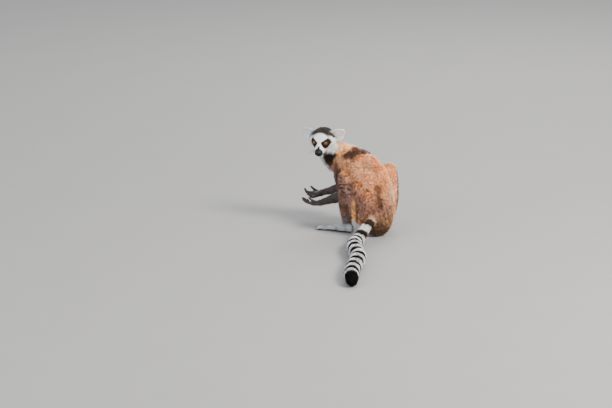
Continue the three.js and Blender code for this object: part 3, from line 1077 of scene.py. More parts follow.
class Fields:
    """Values on the skin's vertices: zone weights, the coat's sizes and the way the hair lies.

    The rounds say how far each value is spread over its neighbours.
    """

    zone_rounds: int = 14
    size_rounds: int = 22
    normal_rounds: int = 24
    hollow_rounds: int = 30
    flow_rounds: int = 40
    hollows: Pair = (0.25, 1.6)
    swirl_pitch: float = 26.0
    swirl_size: float = 0.9
    knee_shorter: float = 0.25

    def __init__(self, anatomy: Anatomy, points: Array, normals: Array, triangles: Array) -> None:
        """Works out every field.

        Args:
            anatomy: The measured frame.
            points: The skin's vertices.
            normals: Their outward normals.
            triangles: The skin's triangles.
        """
        self.anatomy = anatomy
        self.points = points
        edges = np.concatenate([triangles[:, [0, 1]], triangles[:, [1, 2]], triangles[:, [2, 0]]])
        self.edges = np.concatenate([edges, edges[:, ::-1]])
        self.degree = np.bincount(self.edges[:, 0], minlength=len(points)).astype(float)
        self.names = list(anatomy.solids)
        self.node_index = self._nearest_nodes()
        self.zone_index = np.array([Zone.of(name).value for name in self.names])[self.node_index]
        self.weights = self.diffuse(np.eye(len(Zone))[self.zone_index], self.zone_rounds)
        self.is_left = np.array([name.endswith("left") for name in self.names])[self.node_index]
        self.sizes = self._sizes()
        self.soft_normals = unit(self.diffuse(normals, self.normal_rounds))
        # Painted shade: crease marks where the skin lies in a hollow, less on head and ears, and
        # darkens skin and tufts there.
        outward = self.diffuse(points, self.hollow_rounds) - points
        hollow = np.sum(outward * self.soft_normals, axis=1) / MM
        face = self.share(Zone.HEAD, Zone.EAR)
        self.crease = ramp(hollow, *self.hollows) * (1.0 - 0.9 * face)
        self.flow = self._flow(normals)

    def share(self, *zones: Zone) -> Array:
        """How much of each vertex belongs to the zones."""
        return self.weights[:, [zone.value for zone in zones]].sum(axis=1)

    def _nearest_nodes(self) -> Array:
        """Finds the solid that each vertex lies on.

        Returns:
            The solids' places in the list of names.
        """
        corners, faces, owners = [], [], []
        base = 0
        for index, (points, triangles) in enumerate(self.anatomy.solids.values()):
            corners.append(points)
            faces.append(triangles + base)
            owners += [index] * len(triangles)
            base += len(points)
        corners, faces = np.concatenate(corners).tolist(), np.concatenate(faces).tolist()
        tree = BVHTree.FromPolygons(corners, faces, all_triangles=True)
        return np.array([owners[tree.find_nearest(point)[2]] for point in self.points.tolist()])

    def diffuse(self, values: Array, rounds: int) -> Array:
        """Spreads values over neighbouring vertices.

        Args:
            values: One row for each vertex.
            rounds: How many times each vertex takes its neighbours' average.

        Returns:
            The spread values.
        """
        count, (start, end) = len(values), self.edges.T
        for _ in range(rounds):
            summed = [np.bincount(start, column[end], count) for column in values.T]
            values = 0.5 * values + 0.5 * np.stack(summed, axis=1) / self.degree[:, None]
        return values

    def _sizes(self) -> dict[str, Array]:
        """Spreads the coat's sizes over the skin, with the finer changes over head and knees.

        Returns:
            The values at each vertex by the size's name.
        """
        names = [each.name for each in fields(Pelt)]
        table = np.array([[getattr(PELTS[zone], name) for name in names] for zone in Zone])
        sizes = dict(zip(names, self.diffuse(table[self.zone_index], self.size_rounds).T))
        right, forward, up = self.anatomy.head.local(self.points).T
        on_head = self.share(Zone.HEAD)
        muzzle = ramp(forward, 30.0, 44.0) * on_head
        cheek = ramp(np.abs(right), 17.0, 30.0) * ramp(up, 6.0, -14.0)
        cheek *= ramp(forward, 24.0, 8.0) * on_head
        crown = ramp(forward, 12.0, -8.0) * ramp(up, 0.0, 14.0) * on_head
        nape = ramp(forward, -6.0, -24.0) * on_head
        lids = ramp(self.anatomy.eye_gap(self.points), 19.0, 13.0)
        for name, targets in HEAD_SIZES.items():
            for target, share in zip(targets, (crown, nape, cheek, muzzle, lids)):
                sizes[name] = sizes[name] + (target - sizes[name]) * share
        knee = ramp(self.points[:, 2], 0.100, 0.120) * self.share(Zone.THIGH, Zone.SHIN)
        sizes["length"] = sizes["length"] * (1.0 - self.knee_shorter * knee)
        return sizes

    def _flow(self, normals: Array) -> Array:
        """Finds the way the hair lies: out along the limbs, back along body and tail.

        Args:
            normals: The skin's normals.

        Returns:
            Unit vectors along the skin.
        """
        anatomy, points = self.anatomy, self.points
        flow = np.zeros_like(points)
        for index, name in enumerate(self.names):
            here = self.node_index == index
            if name in anatomy.bones:
                flow[here] = anatomy.bones[name].direction
            elif name.startswith("tail"):
                flow[here] = anatomy.tail.measure(points[here])[2]
            elif name == "trunk":
                flow[here] = [0.0, 0.0, -0.25] - anatomy.spine.measure(points[here])[2]
            else:
                flow[here] = self._head_flow(points[here])
        flow = self.diffuse(unit(flow), self.flow_rounds)
        swirl = [value_noise(points, self.swirl_pitch, seed) - 0.5 for seed in (1, 2, 3)]
        swirl = np.stack(swirl, axis=1) * self.swirl_size
        free = 1.0 - self.share(Zone.HEAD) - self.share(Zone.HAND)
        flow = unit(flow) + swirl * np.clip(free, 0.15, 1.0)[:, None]
        return self._laid(flow, normals)

    def _laid(self, flow: Array, normals: Array) -> Array:
        """Lays vectors flat on the skin."""
        return unit(flow - normals * np.sum(flow * normals, axis=1, keepdims=True))

    def _head_flow(self, points: Array) -> Array:
        """Lays the hair back from the muzzle, over the crown and down over the cheeks.

        Args:
            points: Places on the head.

        Returns:
            The way the hair lies there.
        """
        head = self.anatomy.head
        right, forward, up = head.local(points).T
        behind = ramp(forward, 10.0, -22.0)
        flow = mix(-head.forward, self.anatomy.bones["neck"].direction, behind)
        low = ramp(up, 8.0, -14.0) * ramp(forward, 34.0, 16.0)
        flow += np.outer(low * 0.8, -head.up)
        flow += np.outer(low * 0.45 * np.sign(right), head.right)
        return flow

    def settle(self, points: Array, normals: Array) -> None:
        """Lays the hair along the finished skin, straight away from the lids near each eye.

        Args:
            points: The finished skin's vertices.
            normals: Their outward normals.
        """
        flow = self.flow
        for eye in self.anatomy.eyes:
            away = points - eye.centre
            level = away - np.outer(away @ eye.axis, eye.axis)
            share = ramp(np.linalg.norm(away, axis=1) / MM, 19.0, 11.0)
            flow = mix(flow, unit(level), share)
        self.flow = self._laid(flow, normals)


# ---- markings
@dataclass(frozen=True)
class Places:
    """Places on the animal, with what the painters read there. Heights and widths are metres."""

    anatomy: Anatomy
    points: Array
    normals: Array

    @property
    def across(self) -> Array:
        """How far right of the frame's middle each place lies."""
        return self.points[:, 0]

    @property
    def height(self) -> Array:
        """How high each place lies."""
        return self.points[:, 2]

    @property
    def in_head(self) -> Array:
        """Millimetres right, forward and up in the head's axes."""
        return self.anatomy.head.local(self.points).T

    @property
    def along_back(self) -> Array:
        """How far along the back: 0 at the tail's root, 1 at the head's middle."""
        return self.anatomy.spine.measure(self.points)[0] / self.anatomy.spine.length

    @property
    def throatward(self) -> Array:
        """How far a surface faces the way the throat does: across the neck, down and ahead.

        Returns:
            1 where it faces just that way.
        """
        neck = self.anatomy.bones["neck"].direction
        below = np.array([-0.72, 0.30, -0.62])
        return self.normals @ unit(below - neck * (below @ neck) * 0.5)

    @property
    def inner_leg(self) -> Array:
        """How far a surface faces the other leg."""
        return ramp(self.normals[:, 0] * np.sign(0.004 - self.across), 0.35, 0.75)

    @property
    def behind(self) -> Array:
        """1 where a surface faces back, aside or up, and 0 where it faces ahead."""
        return ramp(self.normals[:, 1], 0.60, 0.25)

    @property
    def creases(self) -> Array:
        """Broken lines of painted shade where the woolly coat folds across the knees.

        Returns:
            1 in a crease, 0 clear of it.
        """
        wave = self.height / MM / 8.5 + self.noise(12.0, 51) * 1.6
        line = ramp(np.abs(wave % 1.0 - 0.5), 0.30, 0.14) * self.spots(9.0, 52, 0.30, 0.45)
        far = ramp(self.across, -0.02, 0.02)
        return line * ramp(self.height, 0.098, 0.118) * (1.0 - 0.6 * far)

    def noise(self, pitch: float, seed: int) -> Array:
        """Smooth random values from 0 to 1."""
        return value_noise(self.points, pitch, seed)

    def ragged(self, pitch: float, seed: int, size: float) -> Array:
        """Smooth random values that stray by half the size either way."""
        return (self.noise(pitch, seed) - 0.5) * size

    def spots(self, pitch: float, seed: int, low: float, high: float) -> Array:
        """Soft-edged random spots."""
        return ramp(self.noise(pitch, seed), low, high)

    def partings(self, seed: int) -> Array:
        """Thin crooked lines where the woolly coat parts: its dark under-hair with painted shade in
        the gap.
        """
        line = ramp(np.abs(self.ragged(9.0, seed, 1.0)), 0.07, 0.02)
        return line * self.spots(26.0, seed + 1, 0.3, 0.6)

    def fold(self, start: Pair, end: Pair, width: float) -> Array:
        """Draws painted shade along a fold of the coat on the back.

        Args:
            start: The fold's upper end, across and up, in millimetres.
            end: Its lower end.
            width: Half its width in millimetres.

        Returns:
            1 in the fold, 0 clear of it.
        """
        place = self.points[:, [0, 2]] / MM - np.array(start)
        span = np.array(end) - np.array(start)
        share = np.clip(place @ span / (span @ span), 0.0, 1.0)
        gap = np.linalg.norm(place - share[:, None] * span, axis=1)
        gap += self.ragged(7.0, 61, 1.2 * width)
        behind = ramp(self.points[:, 1], 0.060, 0.030)
        return ramp(gap, width * 1.7, width * 0.3) * behind


@dataclass(frozen=True)
class Markings:
    """The colours of the coat, with painted light and shade laid over them, the same for the skin
    and the hair over it.

    Each zone has a painter of its own name. It takes places and gives their colours, linear.
    """

    anatomy: Anatomy
    white: Colour = (0.93, 0.92, 0.90)
    black: Colour = (0.004, 0.004, 0.004)
    cap: Colour = (0.020, 0.014, 0.011)
    ear: Colour = (0.96, 0.955, 0.945)
    # The grey-pink skin inside the ear, with painted shade in its hollow.
    ear_inside: Colour = (0.84, 0.78, 0.75)
    rust: Colour = (0.96, 0.39, 0.155)
    # Painted sunlight along the top and the right of the back.
    sunlit_orange: Colour = (0.96, 0.37, 0.13)
    # Painted highlight along the top edge of the back.
    sunlit_ridge: Colour = (0.97, 0.52, 0.28)
    wool: Colour = (0.94, 0.455, 0.26)
    # Umber: dark brown fur, and also painted shade in folds, creases and under the rump.
    umber: Colour = (0.055, 0.029, 0.019)
    # Painted shadow under the cheek.
    shade: Colour = (0.030, 0.018, 0.013)
    nape: Colour = (0.19, 0.135, 0.105)
    arm: Colour = (0.20, 0.140, 0.108)
    # Fawn and shin: browns darkened partly as painted shade for the legs.
    fawn: Colour = (0.38, 0.20, 0.145)
    shin: Colour = (0.22, 0.12, 0.095)
    # Golden: the tail's root, and partly painted sunlight on the neck and the nape.
    golden: Colour = (0.95, 0.50, 0.20)
    # Amber: pale golden fur on the legs, brightened as a painted highlight.
    amber: Colour = (0.97, 0.46, 0.155)
    # Painted shadow across the withers behind the nape.
    withers_shadow: Colour = (0.085, 0.045, 0.029)
    # Ochre and mauve: golden and rusty fur darkened for the lower rump, the legs and the left
    # flank, partly painted shade.
    ochre: Colour = (0.56, 0.30, 0.155)
    mauve: Colour = (0.39, 0.205, 0.16)
    # Painted highlight on the right side of the back.
    highlight_peach: Colour = (0.95, 0.63, 0.46)
    cream: Colour = (0.90, 0.62, 0.42)
    # Slate and dusk: greys of the forearms and hands, darkened partly as painted shade.
    slate: Colour = (0.155, 0.130, 0.112)
    dusk: Colour = (0.080, 0.060, 0.047)
    ash: Colour = (0.31, 0.32, 0.33)
    foot: Colour = (0.52, 0.53, 0.53)
    pad: Colour = (0.020, 0.018, 0.018)
    muzzle: Colour = (0.006, 0.006, 0.006)
    rim: Colour = (0.005, 0.005, 0.005)
    ring_pitch: float = 46.0
    ring_white: float = 0.56
    ring_edge: float = 0.05
    ring_start: float = 0.957
    tail_tip: float = 52.0
    patch: tuple[Pair, ...] = ((2.6, 6.6), (16.4, -15.6), (29.5, -0.5), (21.5, 15.6))
    patch_round: float = 2.4
    least_share: float = 0.002

    def colours(self, points: Array, weights: Array, normals: Array) -> Array:
        """Colours the coat.

        Args:
            points: Places on the animal.
            weights: Their shares of each zone, one column to a zone.
            normals: The skin's outward normals there.

        Returns:
            Rows of linear red, green and blue.
        """
        total = np.zeros((len(points), 3))
        weights = weights / np.maximum(weights.sum(axis=1, keepdims=True), 1e-9)
        for zone in Zone:
            share = weights[:, zone.value]
            here = share > self.least_share
            if here.any():
                painter = getattr(self, f"_{zone.name.lower()}")
                painted = painter(Places(self.anatomy, points[here], normals[here]))
                total[here] += painted * share[here, None]
        return total

    def _eye_patch(self, side: Array, up: Array) -> Array:
        """Finds how far each place lies outside the four-cornered patch round an eye.

        Args:
            side: Millimetres from the head's middle.
            up: Millimetres up in the head's axes.

        Returns:
            Millimetres, under 0 inside.
        """
        corners = np.array(self.patch)
        gaps = []
        for start, end in zip(corners, np.roll(corners, -1, axis=0)):
            along = unit(end - start)
            gaps.append((side - start[0]) * along[1] - (up - start[1]) * along[0])
        return np.log(np.exp(np.array(gaps) / self.patch_round).sum(axis=0)) * self.patch_round

    def _head(self, at: Places) -> Array:
        """White face, dark cap, black eye patches and a dark muzzle.

        Args:
            at: The places.

        Returns:
            Their colours.
        """
        right, forward, up = at.in_head
        side, ragged = np.abs(right), at.ragged(4.0, 7, 3.0)
        stations, heights = (-30.0, -14.0, 0.0, 5.0, 9.0, 16.0), (-26.0, -8.0, 5.5, 5.0, 13.0, 17.5)
        line = np.interp(forward, stations, heights)
        cap = ramp(up + ragged * 0.6 - line, -1.2, 1.2) * ramp(forward, 21.0, 17.0)
        streak = bell(side, 20.5, 2.2) * ramp(forward, 6.0, 12.0)
        reach = self._eye_patch(side, up) + ragged * 0.25
        patch = ramp(reach, 0.9, -0.7) * ramp(forward, 5.0, 10.0)
        _, ahead, rise = at.anatomy.from_nose(at.points)
        gap = np.sqrt(side**2 + (ahead - 2.0) ** 2 + (rise + 3.0) ** 2)
        tip = ramp(gap + ragged * 0.5, 17.0, 14.0)
        bridge = ramp(side, 4.6, 2.6) * ramp(ahead + ragged * 0.4, -14.0, -11.0)
        return layered(
            self.white,
            (self.cap, cap),
            (self.slate, streak * ramp(up, 11.0, 14.0) * 0.5),
            (self.black, patch),
            (
                mix(self.black, self.muzzle, at.noise(5.0, 8)),
                np.maximum(tip, bridge * ramp(rise, -6.0, 0.0)),
            ),
        )

    def _ear(self, at: Places) -> Array:
        """White ears, a little grey and pink inside: the skin of the pinna with painted shade in
        its hollow.
        """
        inside = ramp(at.normals @ at.anatomy.head.forward, 0.3, 0.8)
        return mix(self.ear, self.ear_inside, inside * (at.spots(9.0, 5, 0.3, 0.7) * 0.3))

    def _neck(self, at: Places) -> Array:
        """Orange on the nape, its golden patches partly painted sunlight, white down the throat and
        chest, and a painted shadow under the cheek over darker brown fur.

        Args:
            at: The places.

        Returns:
            Their colours.
        """
        right, forward, up = at.in_head
        ragged = at.ragged(6.0, 12, 6.0)
        # Painted shadow of the head under the cheek, over darker brown fur.
        front = ramp(np.abs(right) + ragged, 54.0, 45.0) * ramp(up, -26.0, -32.0)
        front *= ramp(forward, -4.0, 8.0)
        nape = ramp(forward, 6.0, -6.0) * ramp(at.along_back, 0.86, 0.93)
        side = np.abs(right) - 0.35 * (up + 17.0) + ragged * 0.6
        ruff = ramp(side, 47.0, 42.0) * ramp(up + ragged * 0.6, -31.0, -26.0)
        ruff *= ramp(forward, 0.0, 8.0)
        throat = ramp(at.throatward + ragged * 0.03, 0.36, 0.62)
        return layered(
            self.rust,
            # Golden patches: partly painted sunlight on the neck.
            (self.golden, at.noise(18.0, 11) * ramp(forward, -20.0, 10.0)),
            (self.fawn, ramp(forward, 0.0, -20.0) * 0.3),
            # Painted shadow under the cheek: umber, and the darker shade lower down.
            (self.umber, front * 0.95),
            (self.shade, ramp(up + ragged, -62.0, -44.0) * front),
            (self.nape, nape * 0.8),
            (self.white, np.maximum(throat, ruff)),
        )

    def _trunk(self, at: Places) -> Array:
        """A rusty woolly back, pale below, with painted highlights along the top and the right, a
        painted shadow behind the nape, and painted shade on the lower flank, in folds and low on
        the rump.

        Args:
            at: The places.

        Returns:
            Their colours.
        """
        share, across, height = at.along_back, at.across, at.height
        ragged = at.ragged(12.0, 13, 1.0)
        # Painted highlight, pale peach, on the right side of the back.
        light = ramp(across - 0.15 * height, 0.000, 0.030)
        light *= ramp(height, 0.08, 0.12) * ramp(height + ragged * 0.02, 0.168, 0.150)
        # Painted highlight: a pale band along the top edge of the back, on the left.
        sunlit_ridge = ramp(height + ragged * 0.02, 0.160, 0.172)
        sunlit_ridge = sunlit_ridge * ramp(height, 0.198, 0.188) * ramp(across, 0.004, -0.018)
        # Painted sunlight: a deeper orange along the top and the right of the back.
        sunlit_orange = ramp(height + ragged * 0.02, 0.150, 0.172) * ramp(across, -0.03, 0.01)
        # Painted sunlight: golden on the left of the nape.
        nape = ramp(share, 0.650, 0.680) * ramp(height, 0.186, 0.198)
        # Painted shadow across the withers behind the nape.
        withers_shadow = ramp(share + ragged * 0.08, 0.475, 0.540)
        withers_shadow *= ramp(share + ragged * 0.08, 0.668, 0.640)
        withers_shadow *= ramp(height + ragged * 0.012, 0.186, 0.200)
        # Painted shade in the fold between the thigh and the back.
        crease = at.fold((-80.0, 166.0), (-14.0, 122.0), 2.2) * at.spots(11.0, 62, 0.30, 0.55)
        chest = ramp(at.throatward, 0.62, 0.82) * ramp(share, 0.50, 0.62)
        belly = ramp(at.normals[:, 1] * 0.8 - at.normals[:, 2] * 0.6, 0.45, 0.8)
        # Painted shade on the lower left flank, mauve-brown.
        dull = ramp(height + 0.5 * across + ragged * 0.03, 0.128, 0.078)
        return layered(
            self.rust,
            (self.wool, at.spots(24.0, 3, 0.3, 0.75)),
            (self.highlight_peach, light * 0.8),
            (self.sunlit_ridge, sunlit_ridge * 0.7),
            (self.sunlit_orange, sunlit_orange * 0.7),
            (self.mauve, dull * 0.8),
            (self.umber, at.spots(30.0, 9, 0.62, 0.85) * 0.3),
            (self.golden, nape * ramp(across, -0.045, -0.075) * 0.85),
            (self.withers_shadow, withers_shadow * 0.95),
            # Low on the rump: golden hair darkened to ochre, partly painted shade, and a painted
            # shadow along the bottom.
            (self.ochre, ramp(height + ragged * 0.03, 0.080, 0.055) * 0.75),
            (self.umber, ramp(height + ragged * 0.02, 0.050, 0.020) * 0.75),
            # Painted shadow in the hollow of the back.
            (self.umber, at.fold((2.0, 136.0), (9.0, 90.0), 8.5) * 0.75),
            (self.umber, crease * 0.8),
            (self.umber, at.partings(53) * ramp(height, 0.18, 0.12) * 0.45),
            (self.white, np.maximum(chest, belly * 0.75)),
        )

    def _upper_arm(self, at: Places) -> Array:
        """Brown-grey arms."""
        arm, umber = at.noise(16.0, 20), at.noise(22.0, 21) * 0.6
        return layered(self.fawn, (self.arm, arm), (self.umber, umber))

    def _forearm(self, at: Places) -> Array:
        """Dusky forearms: grey darkened partly as painted shade."""
        return mix(self.dusk, self.slate, at.noise(16.0, 22))

    def _hand(self, at: Places) -> Array:
        """Grey hands, darkened partly as painted shade."""
        return mix(self.dusk, self.slate, at.noise(7.0, 23) * 0.7)

    def _thigh(self, at: Places) -> Array:
        """Thighs like the back: painted light on the top and the right, painted shade duller
        towards the knee and on the left, golden along the calf, partly a painted highlight.

        Args:
            at: The places.

        Returns:
            Their colours.
        """
        height, aside = at.height, np.abs(at.across) / MM
        # The lit right thigh is rustier with fewer partings: painted light and shade by side.
        right = ramp(at.across, 0.0, 0.02)
        # Pale golden fur along the calf, brightened as a painted highlight.
        calf = bell(aside, 60.5, 5.0) * ramp(height, 0.108, 0.094) * at.behind
        # A painted shadow in the seam between the thigh and the shin.
        seam_shade = bell(aside, 52.0, 2.0) * ramp(height, 0.110, 0.100)
        return layered(
            self.mauve,
            (self.fawn, at.spots(20.0, 24, 0.3, 0.7) * 0.6),
            (self.rust, np.maximum(ramp(height, 0.135, 0.160), right * 0.7)),
            # Painted shade in the creases over the knee and along the partings, less on the lit
            # right.
            (self.umber, at.creases * 0.95),
            (self.umber, at.partings(55) * 0.35 * (1.0 - right)),
            (self.cream, at.inner_leg * 0.8),
            (self.ochre, ramp(height, 0.080, 0.050) * 0.8),
            (self.amber, calf),
            (self.umber, seam_shade * 0.8),
        )

    def _shin(self, at: Places) -> Array:
        """Brown shins, darkened partly as painted shade, a painted highlight over the knee, grey by
        the ankle, and golden behind, partly a painted highlight.

        Args:
            at: The places.

        Returns:
            Their colours.
        """
        height = at.height
        return layered(
            self.fawn,
            (self.shin, at.spots(15.0, 25, 0.25, 0.8)),
            (self.mauve, ramp(height, 0.105, 0.140) * 0.7),
            # Painted shade in the creases over the knee.
            (self.umber, at.creases * 0.95),
            # Painted highlights: amber over the knee and along the back of the shin.
            (self.amber, ramp(height, 0.152, 0.162) * at.behind * 0.8),
            (self.ash, ramp(height, 0.060, 0.030) * 0.75),
            (self.amber, at.inner_leg * ramp(height, 0.115, 0.085) * at.behind * 0.85),
        )

    def _foot(self, at: Places) -> Array:
        """Pale grey feet with dark soles."""
        spots, sole = at.spots(9.0, 26, 0.25, 0.7), ramp(at.normals[:, 2], -0.35, -0.75)
        return layered(self.ash, (self.foot, spots), (self.pad, sole))

    def _tail(self, at: Places) -> Array:
        """Black and white rings, browner near the root, and a black tip.

        Args:
            at: The places.

        Returns:
            Their colours.
        """
        along = at.anatomy.tail.measure(at.points)[0]
        ragged = at.ragged(6.0, 31, 7.0) + at.normals[:, 2] * -5.0
        turn = ((along + ragged) / self.ring_pitch + self.ring_start) % 1.0
        white = ramp(turn, 0.0, self.ring_edge)
        white *= ramp(turn, self.ring_white, self.ring_white - self.ring_edge)
        tip = at.anatomy.tail.length - self.tail_tip
        return layered(
            self.black,
            (self.umber, ramp(along, 120.0, 40.0)),
            (self.white, white),
            (self.black, ramp(along, tip - 3.0, tip + 3.0)),
            (self.golden, ramp(along, 34.0, 20.0) * 0.8),
        )


# ---- the skin
@dataclass
class Skin:
    """One closed skin over the whole body, drawn in under the coat.

    fuse closes the gaps between the solids, and keep is the share of triangles kept on the body.
    lid_reach is in radii of the eye. lid_rim and lid_crease are a ridge's middle and width, and
    lid_edge the ends of a slope, where 1 is the edge of the opening. A digit's girth, reach, taper
    and swell are shares of its radius.
    """

    anatomy: Anatomy
    pose: Pose
    fuse: float = 0.45
    voxel: float = 1.45
    keep: float = 0.46
    body_rounds: int = 70
    detail_rounds: int = 3
    soft_rounds: int = 8
    lid_lift: float = 0.75
    lid_margin: float = 0.9
    eye_back: float = 1.6
    lid_reach: float = 2.1
    lid_rim: Pair = (1.22, 0.16)
    lid_crease: Pair = (1.85, 0.22)
    crease_depth: float = 0.5
    lid_edge: Pair = (0.84, 1.14)
    digit_centre: float = 45.0
    digit_span: float = 90.0
    digit_start: Pair = (1.0, 7.0)
    digit_girth: float = 0.76
    digit_reach: float = 1.9
    digit_taper: float = 0.10
    knuckle_width: float = 2.2
    knuckle_swell: float = 0.09
    nostril_depth: float = 2.6
    comma_depth: float = 1.2
    cleft_depth: float = 0.8
    mouth_depth: float = 1.2
    pad_depth: float = 0.7
    lip_height: float = 0.7
    nose_pad_size: Pair = (7.0, 5.4)
    nose_pad_rise: float = 0.2
    floor_gap: float = 0.2
    splits: tuple[tuple[float, tuple[str, ...]], ...] = (
        (14.0, ("eye_left", "eye_right", "nose")),
        (10.5, ("eye_left", "eye_right")),
    )
    points: Array = field(init=False)
    normals: Array = field(init=False)
    triangles: Array = field(init=False)
    fields: Fields = field(init=False)

    def build(self) -> Mesh:
        """Makes the skin.

        Returns:
            The skin's mesh.
        """
        self._read(self._refined(self._fused()))
        self.fields = Fields(self.anatomy, self.points, self.normals, self.triangles)
        soft = unit(self.fields.diffuse(self.normals, self.soft_rounds))
        depth = self.fields.sizes["depth"] + self.fuse
        self.points = self.points - soft * depth[:, None] * MM
        self._form_digits()
        for eye in self.anatomy.eyes:
            self._form_lids(eye)
        self._form_muzzle()
        self.points = self.points.clip([-np.inf, -np.inf, self.floor_gap * MM])
        mesh = mesh_from_arrays("skin", self.points, self.triangles)
        self._read(mesh)
        self.fields.settle(self.points, self.normals)
        return mesh

    def _fused(self) -> Mesh:
        """Joins merged copies of the solids, each swollen to close the gaps, in one surface.

        Returns:
            The remeshed surface.
        """
        whole = bmesh.new()
        for node in self.anatomy.nodes.values():
            part = bmesh.new()
            part.from_mesh(node.data)
            bmesh.ops.remove_doubles(part, verts=part.verts, dist=1e-6)
            bmesh.ops.recalc_face_normals(part, faces=part.faces)
            part.normal_update()
            for vert, normal in [(vert, vert.normal.copy()) for vert in part.verts]:
                vert.co += normal * self.fuse * MM
            copy = close_shape(part, "copy")
            whole.from_mesh(copy)
            bpy.data.meshes.remove(copy)
        thing = add_object("fused", close_shape(whole, "fused"))
        remesh = thing.modifiers.new("remesh", "REMESH")
        remesh.mode = "VOXEL"
        remesh.voxel_size = self.voxel * MM
        return self._applied(thing)

    def _applied(self, thing: Thing) -> Mesh:
        """Applies an object's modifiers and removes the object.

        Args:
            thing: The object with live modifiers.

        Returns:
            The finished mesh.
        """
        graph = bpy.context.evaluated_depsgraph_get()
        made = bpy.data.meshes.new_from_object(thing.evaluated_get(graph))
        old = thing.data
        bpy.data.objects.remove(thing)
        bpy.data.meshes.remove(old)
        return made

    def _refined(self, mesh: Mesh) -> Mesh:
        """Smooths each region by its own amount and thins the plainer ones.

        Args:
            mesh: The remeshed surface.

        Returns:
            A mesh of triangles, fine on head, hands and feet.
        """
        thing = add_object("refine", mesh)
        fine = self._fineness(mesh_arrays(mesh)[0])
        for name, weights, rounds in (
            ("body", 1.0 - fine, self.body_rounds),
            ("detail", fine, self.detail_rounds),
        ):
            group = thing.vertex_groups.new(name=name)
            for tenths in range(11):
                chosen = np.nonzero(np.round(weights * 10.0) == tenths)[0]
                if len(chosen):
                    group.add(chosen.tolist(), tenths / 10.0, "REPLACE")
            smooth = thing.modifiers.new(name, "SMOOTH")
            smooth.factor = 0.5
            smooth.iterations = rounds
            smooth.vertex_group = name
        thin = thing.modifiers.new("thin", "DECIMATE")
        thin.ratio = self.keep
        thin.vertex_group = "body"
        thin.vertex_group_factor = 1.0
        made = self._applied(thing)
        shell = bmesh.new()
        shell.from_mesh(made)
        bmesh.ops.triangulate(shell, faces=shell.faces)
        for reach, nodes in self.splits:
            self._split_near(shell, reach, nodes)
        shell.to_mesh(made)
        shell.free()
        return made

    def _fineness(self, points: Array) -> Array:
        """Finds how much detail each vertex must keep.

        Args:
            points: The vertices.

        Returns:
            1 on digits and ears, 0 on the body.
        """
        from_head = np.linalg.norm(self.anatomy.head.local(points) - [0.0, 10.0, -3.0], axis=1)
        fine = ramp(from_head, 62.0, 44.0) * 0.7
        for side in Side:
            for part, near, far in (("hand", 4.0, 10.0), ("foot", 4.0, 10.0), ("ear", 3.0, 8.0)):
                low, high = (np.array(corner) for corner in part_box(f"{part}_{side.label}"))
                outside = np.maximum(np.maximum(low - points, points - high), 0.0)
                gap = np.linalg.norm(outside, axis=1) / MM
                fine = np.maximum(fine, ramp(gap, far, near))
        return fine

    def _split_near(self, shell: Shape, reach: float, nodes: Iterable[str]) -> None:
        """Splits the faces round small features, so that lids and nostrils can be formed.

        Args:
            shell: The surface.
            reach: How far the split goes, in millimetres.
            nodes: The solids that it goes round.
        """
        chosen = set()
        for centre in (Vector(self.anatomy.centre(node)) for node in nodes):
            near = {vert for vert in shell.verts if (vert.co - centre).length < reach * MM}
            around = {edge for vert in near for edge in vert.link_edges}
            chosen |= {edge for edge in around if near.issuperset(edge.verts)}
        edges = [edge for edge in shell.edges if edge in chosen]
        bmesh.ops.subdivide_edges(shell, edges=edges, cuts=1, use_grid_fill=True)
        bmesh.ops.triangulate(shell, faces=shell.faces)

    def _read(self, mesh: Mesh) -> None:
        """Keeps a mesh's arrays.

        Args:
            mesh: The mesh.
        """
        self.points, self.triangles = mesh_arrays(mesh)
        normals = np.empty(len(mesh.vertices) * 3)
        mesh.vertex_normals.foreach_get("vector", normals)
        self.normals = normals.reshape(-1, 3)

    def _form_digits(self) -> None:
        """Parts the fingers and toes: skin near a digit closes round its own middle line."""
        for extremity in self.pose.extremities():
            centre = extremity.origin + extremity.forward * self.digit_centre * MM
            distances = np.linalg.norm(self.points - centre, axis=1)
            near = np.nonzero(distances < self.digit_span * MM)[0]
            places = self.points[near]
            paths = [Polyline(extremity.path(digit)) for digit in extremity.digits]
            alongs, gaps, _ = zip(*(path.measure(places) for path in paths))
            gaps = [gap / digit.radius for gap, digit in zip(gaps, extremity.digits)]
            nearest = np.argmin(gaps, axis=0)
            for index, (digit, path) in enumerate(zip(extremity.digits, paths)):
                mine = (nearest == index) & (gaps[index] < self.digit_reach)
                along = alongs[index][mine]
                foot = path.at(along)
                away = places[mine] - foot
                gap = np.linalg.norm(away, axis=1, keepdims=True) / MM
                joints = np.cumsum(digit.lengths)[:-1]
                bulge = sum(bell(along, joint, self.knuckle_width) for joint in joints)
                size = digit.radius * self.digit_girth * (1.0 + self.knuckle_swell * bulge)
                size *= 1.0 - self.digit_taper * along / sum(digit.lengths)
                reach = ramp(along, *self.digit_start)[:, None]
                wanted = foot + away / np.maximum(gap, 1e-6) * np.minimum(gap, size[:, None])
                places[mine] = places[mine] + (wanted - places[mine]) * reach
            self.points[near] = places

    def _form_lids(self, eye: Eyeball) -> None:
        """Opens an almond slit over an eyeball and raises a rim of skin round it.

        Args:
            eye: The eyeball.
        """
        gap, slit, above = eye.slit(self.points)
        near = gap < eye.radius * self.lid_reach
        gap, slit, above = gap[near], slit[near], above[near]
        towards = unit(self.points[near] - eye.centre)
        shut = np.maximum(gap, eye.radius + self.lid_lift)
        crease = bell(slit, *self.lid_crease) * self.crease_depth
        lid = shut + bell(slit, *self.lid_rim) * self.lid_margin - crease * (above > 0.0)
        shown = np.interp(slit, self.lid_edge, (0.0, 1.0))
        inside = eye.radius - self.eye_back
        target = inside + (lid - inside) * shown
        self.points[near] = eye.centre + towards * target[:, None] * MM

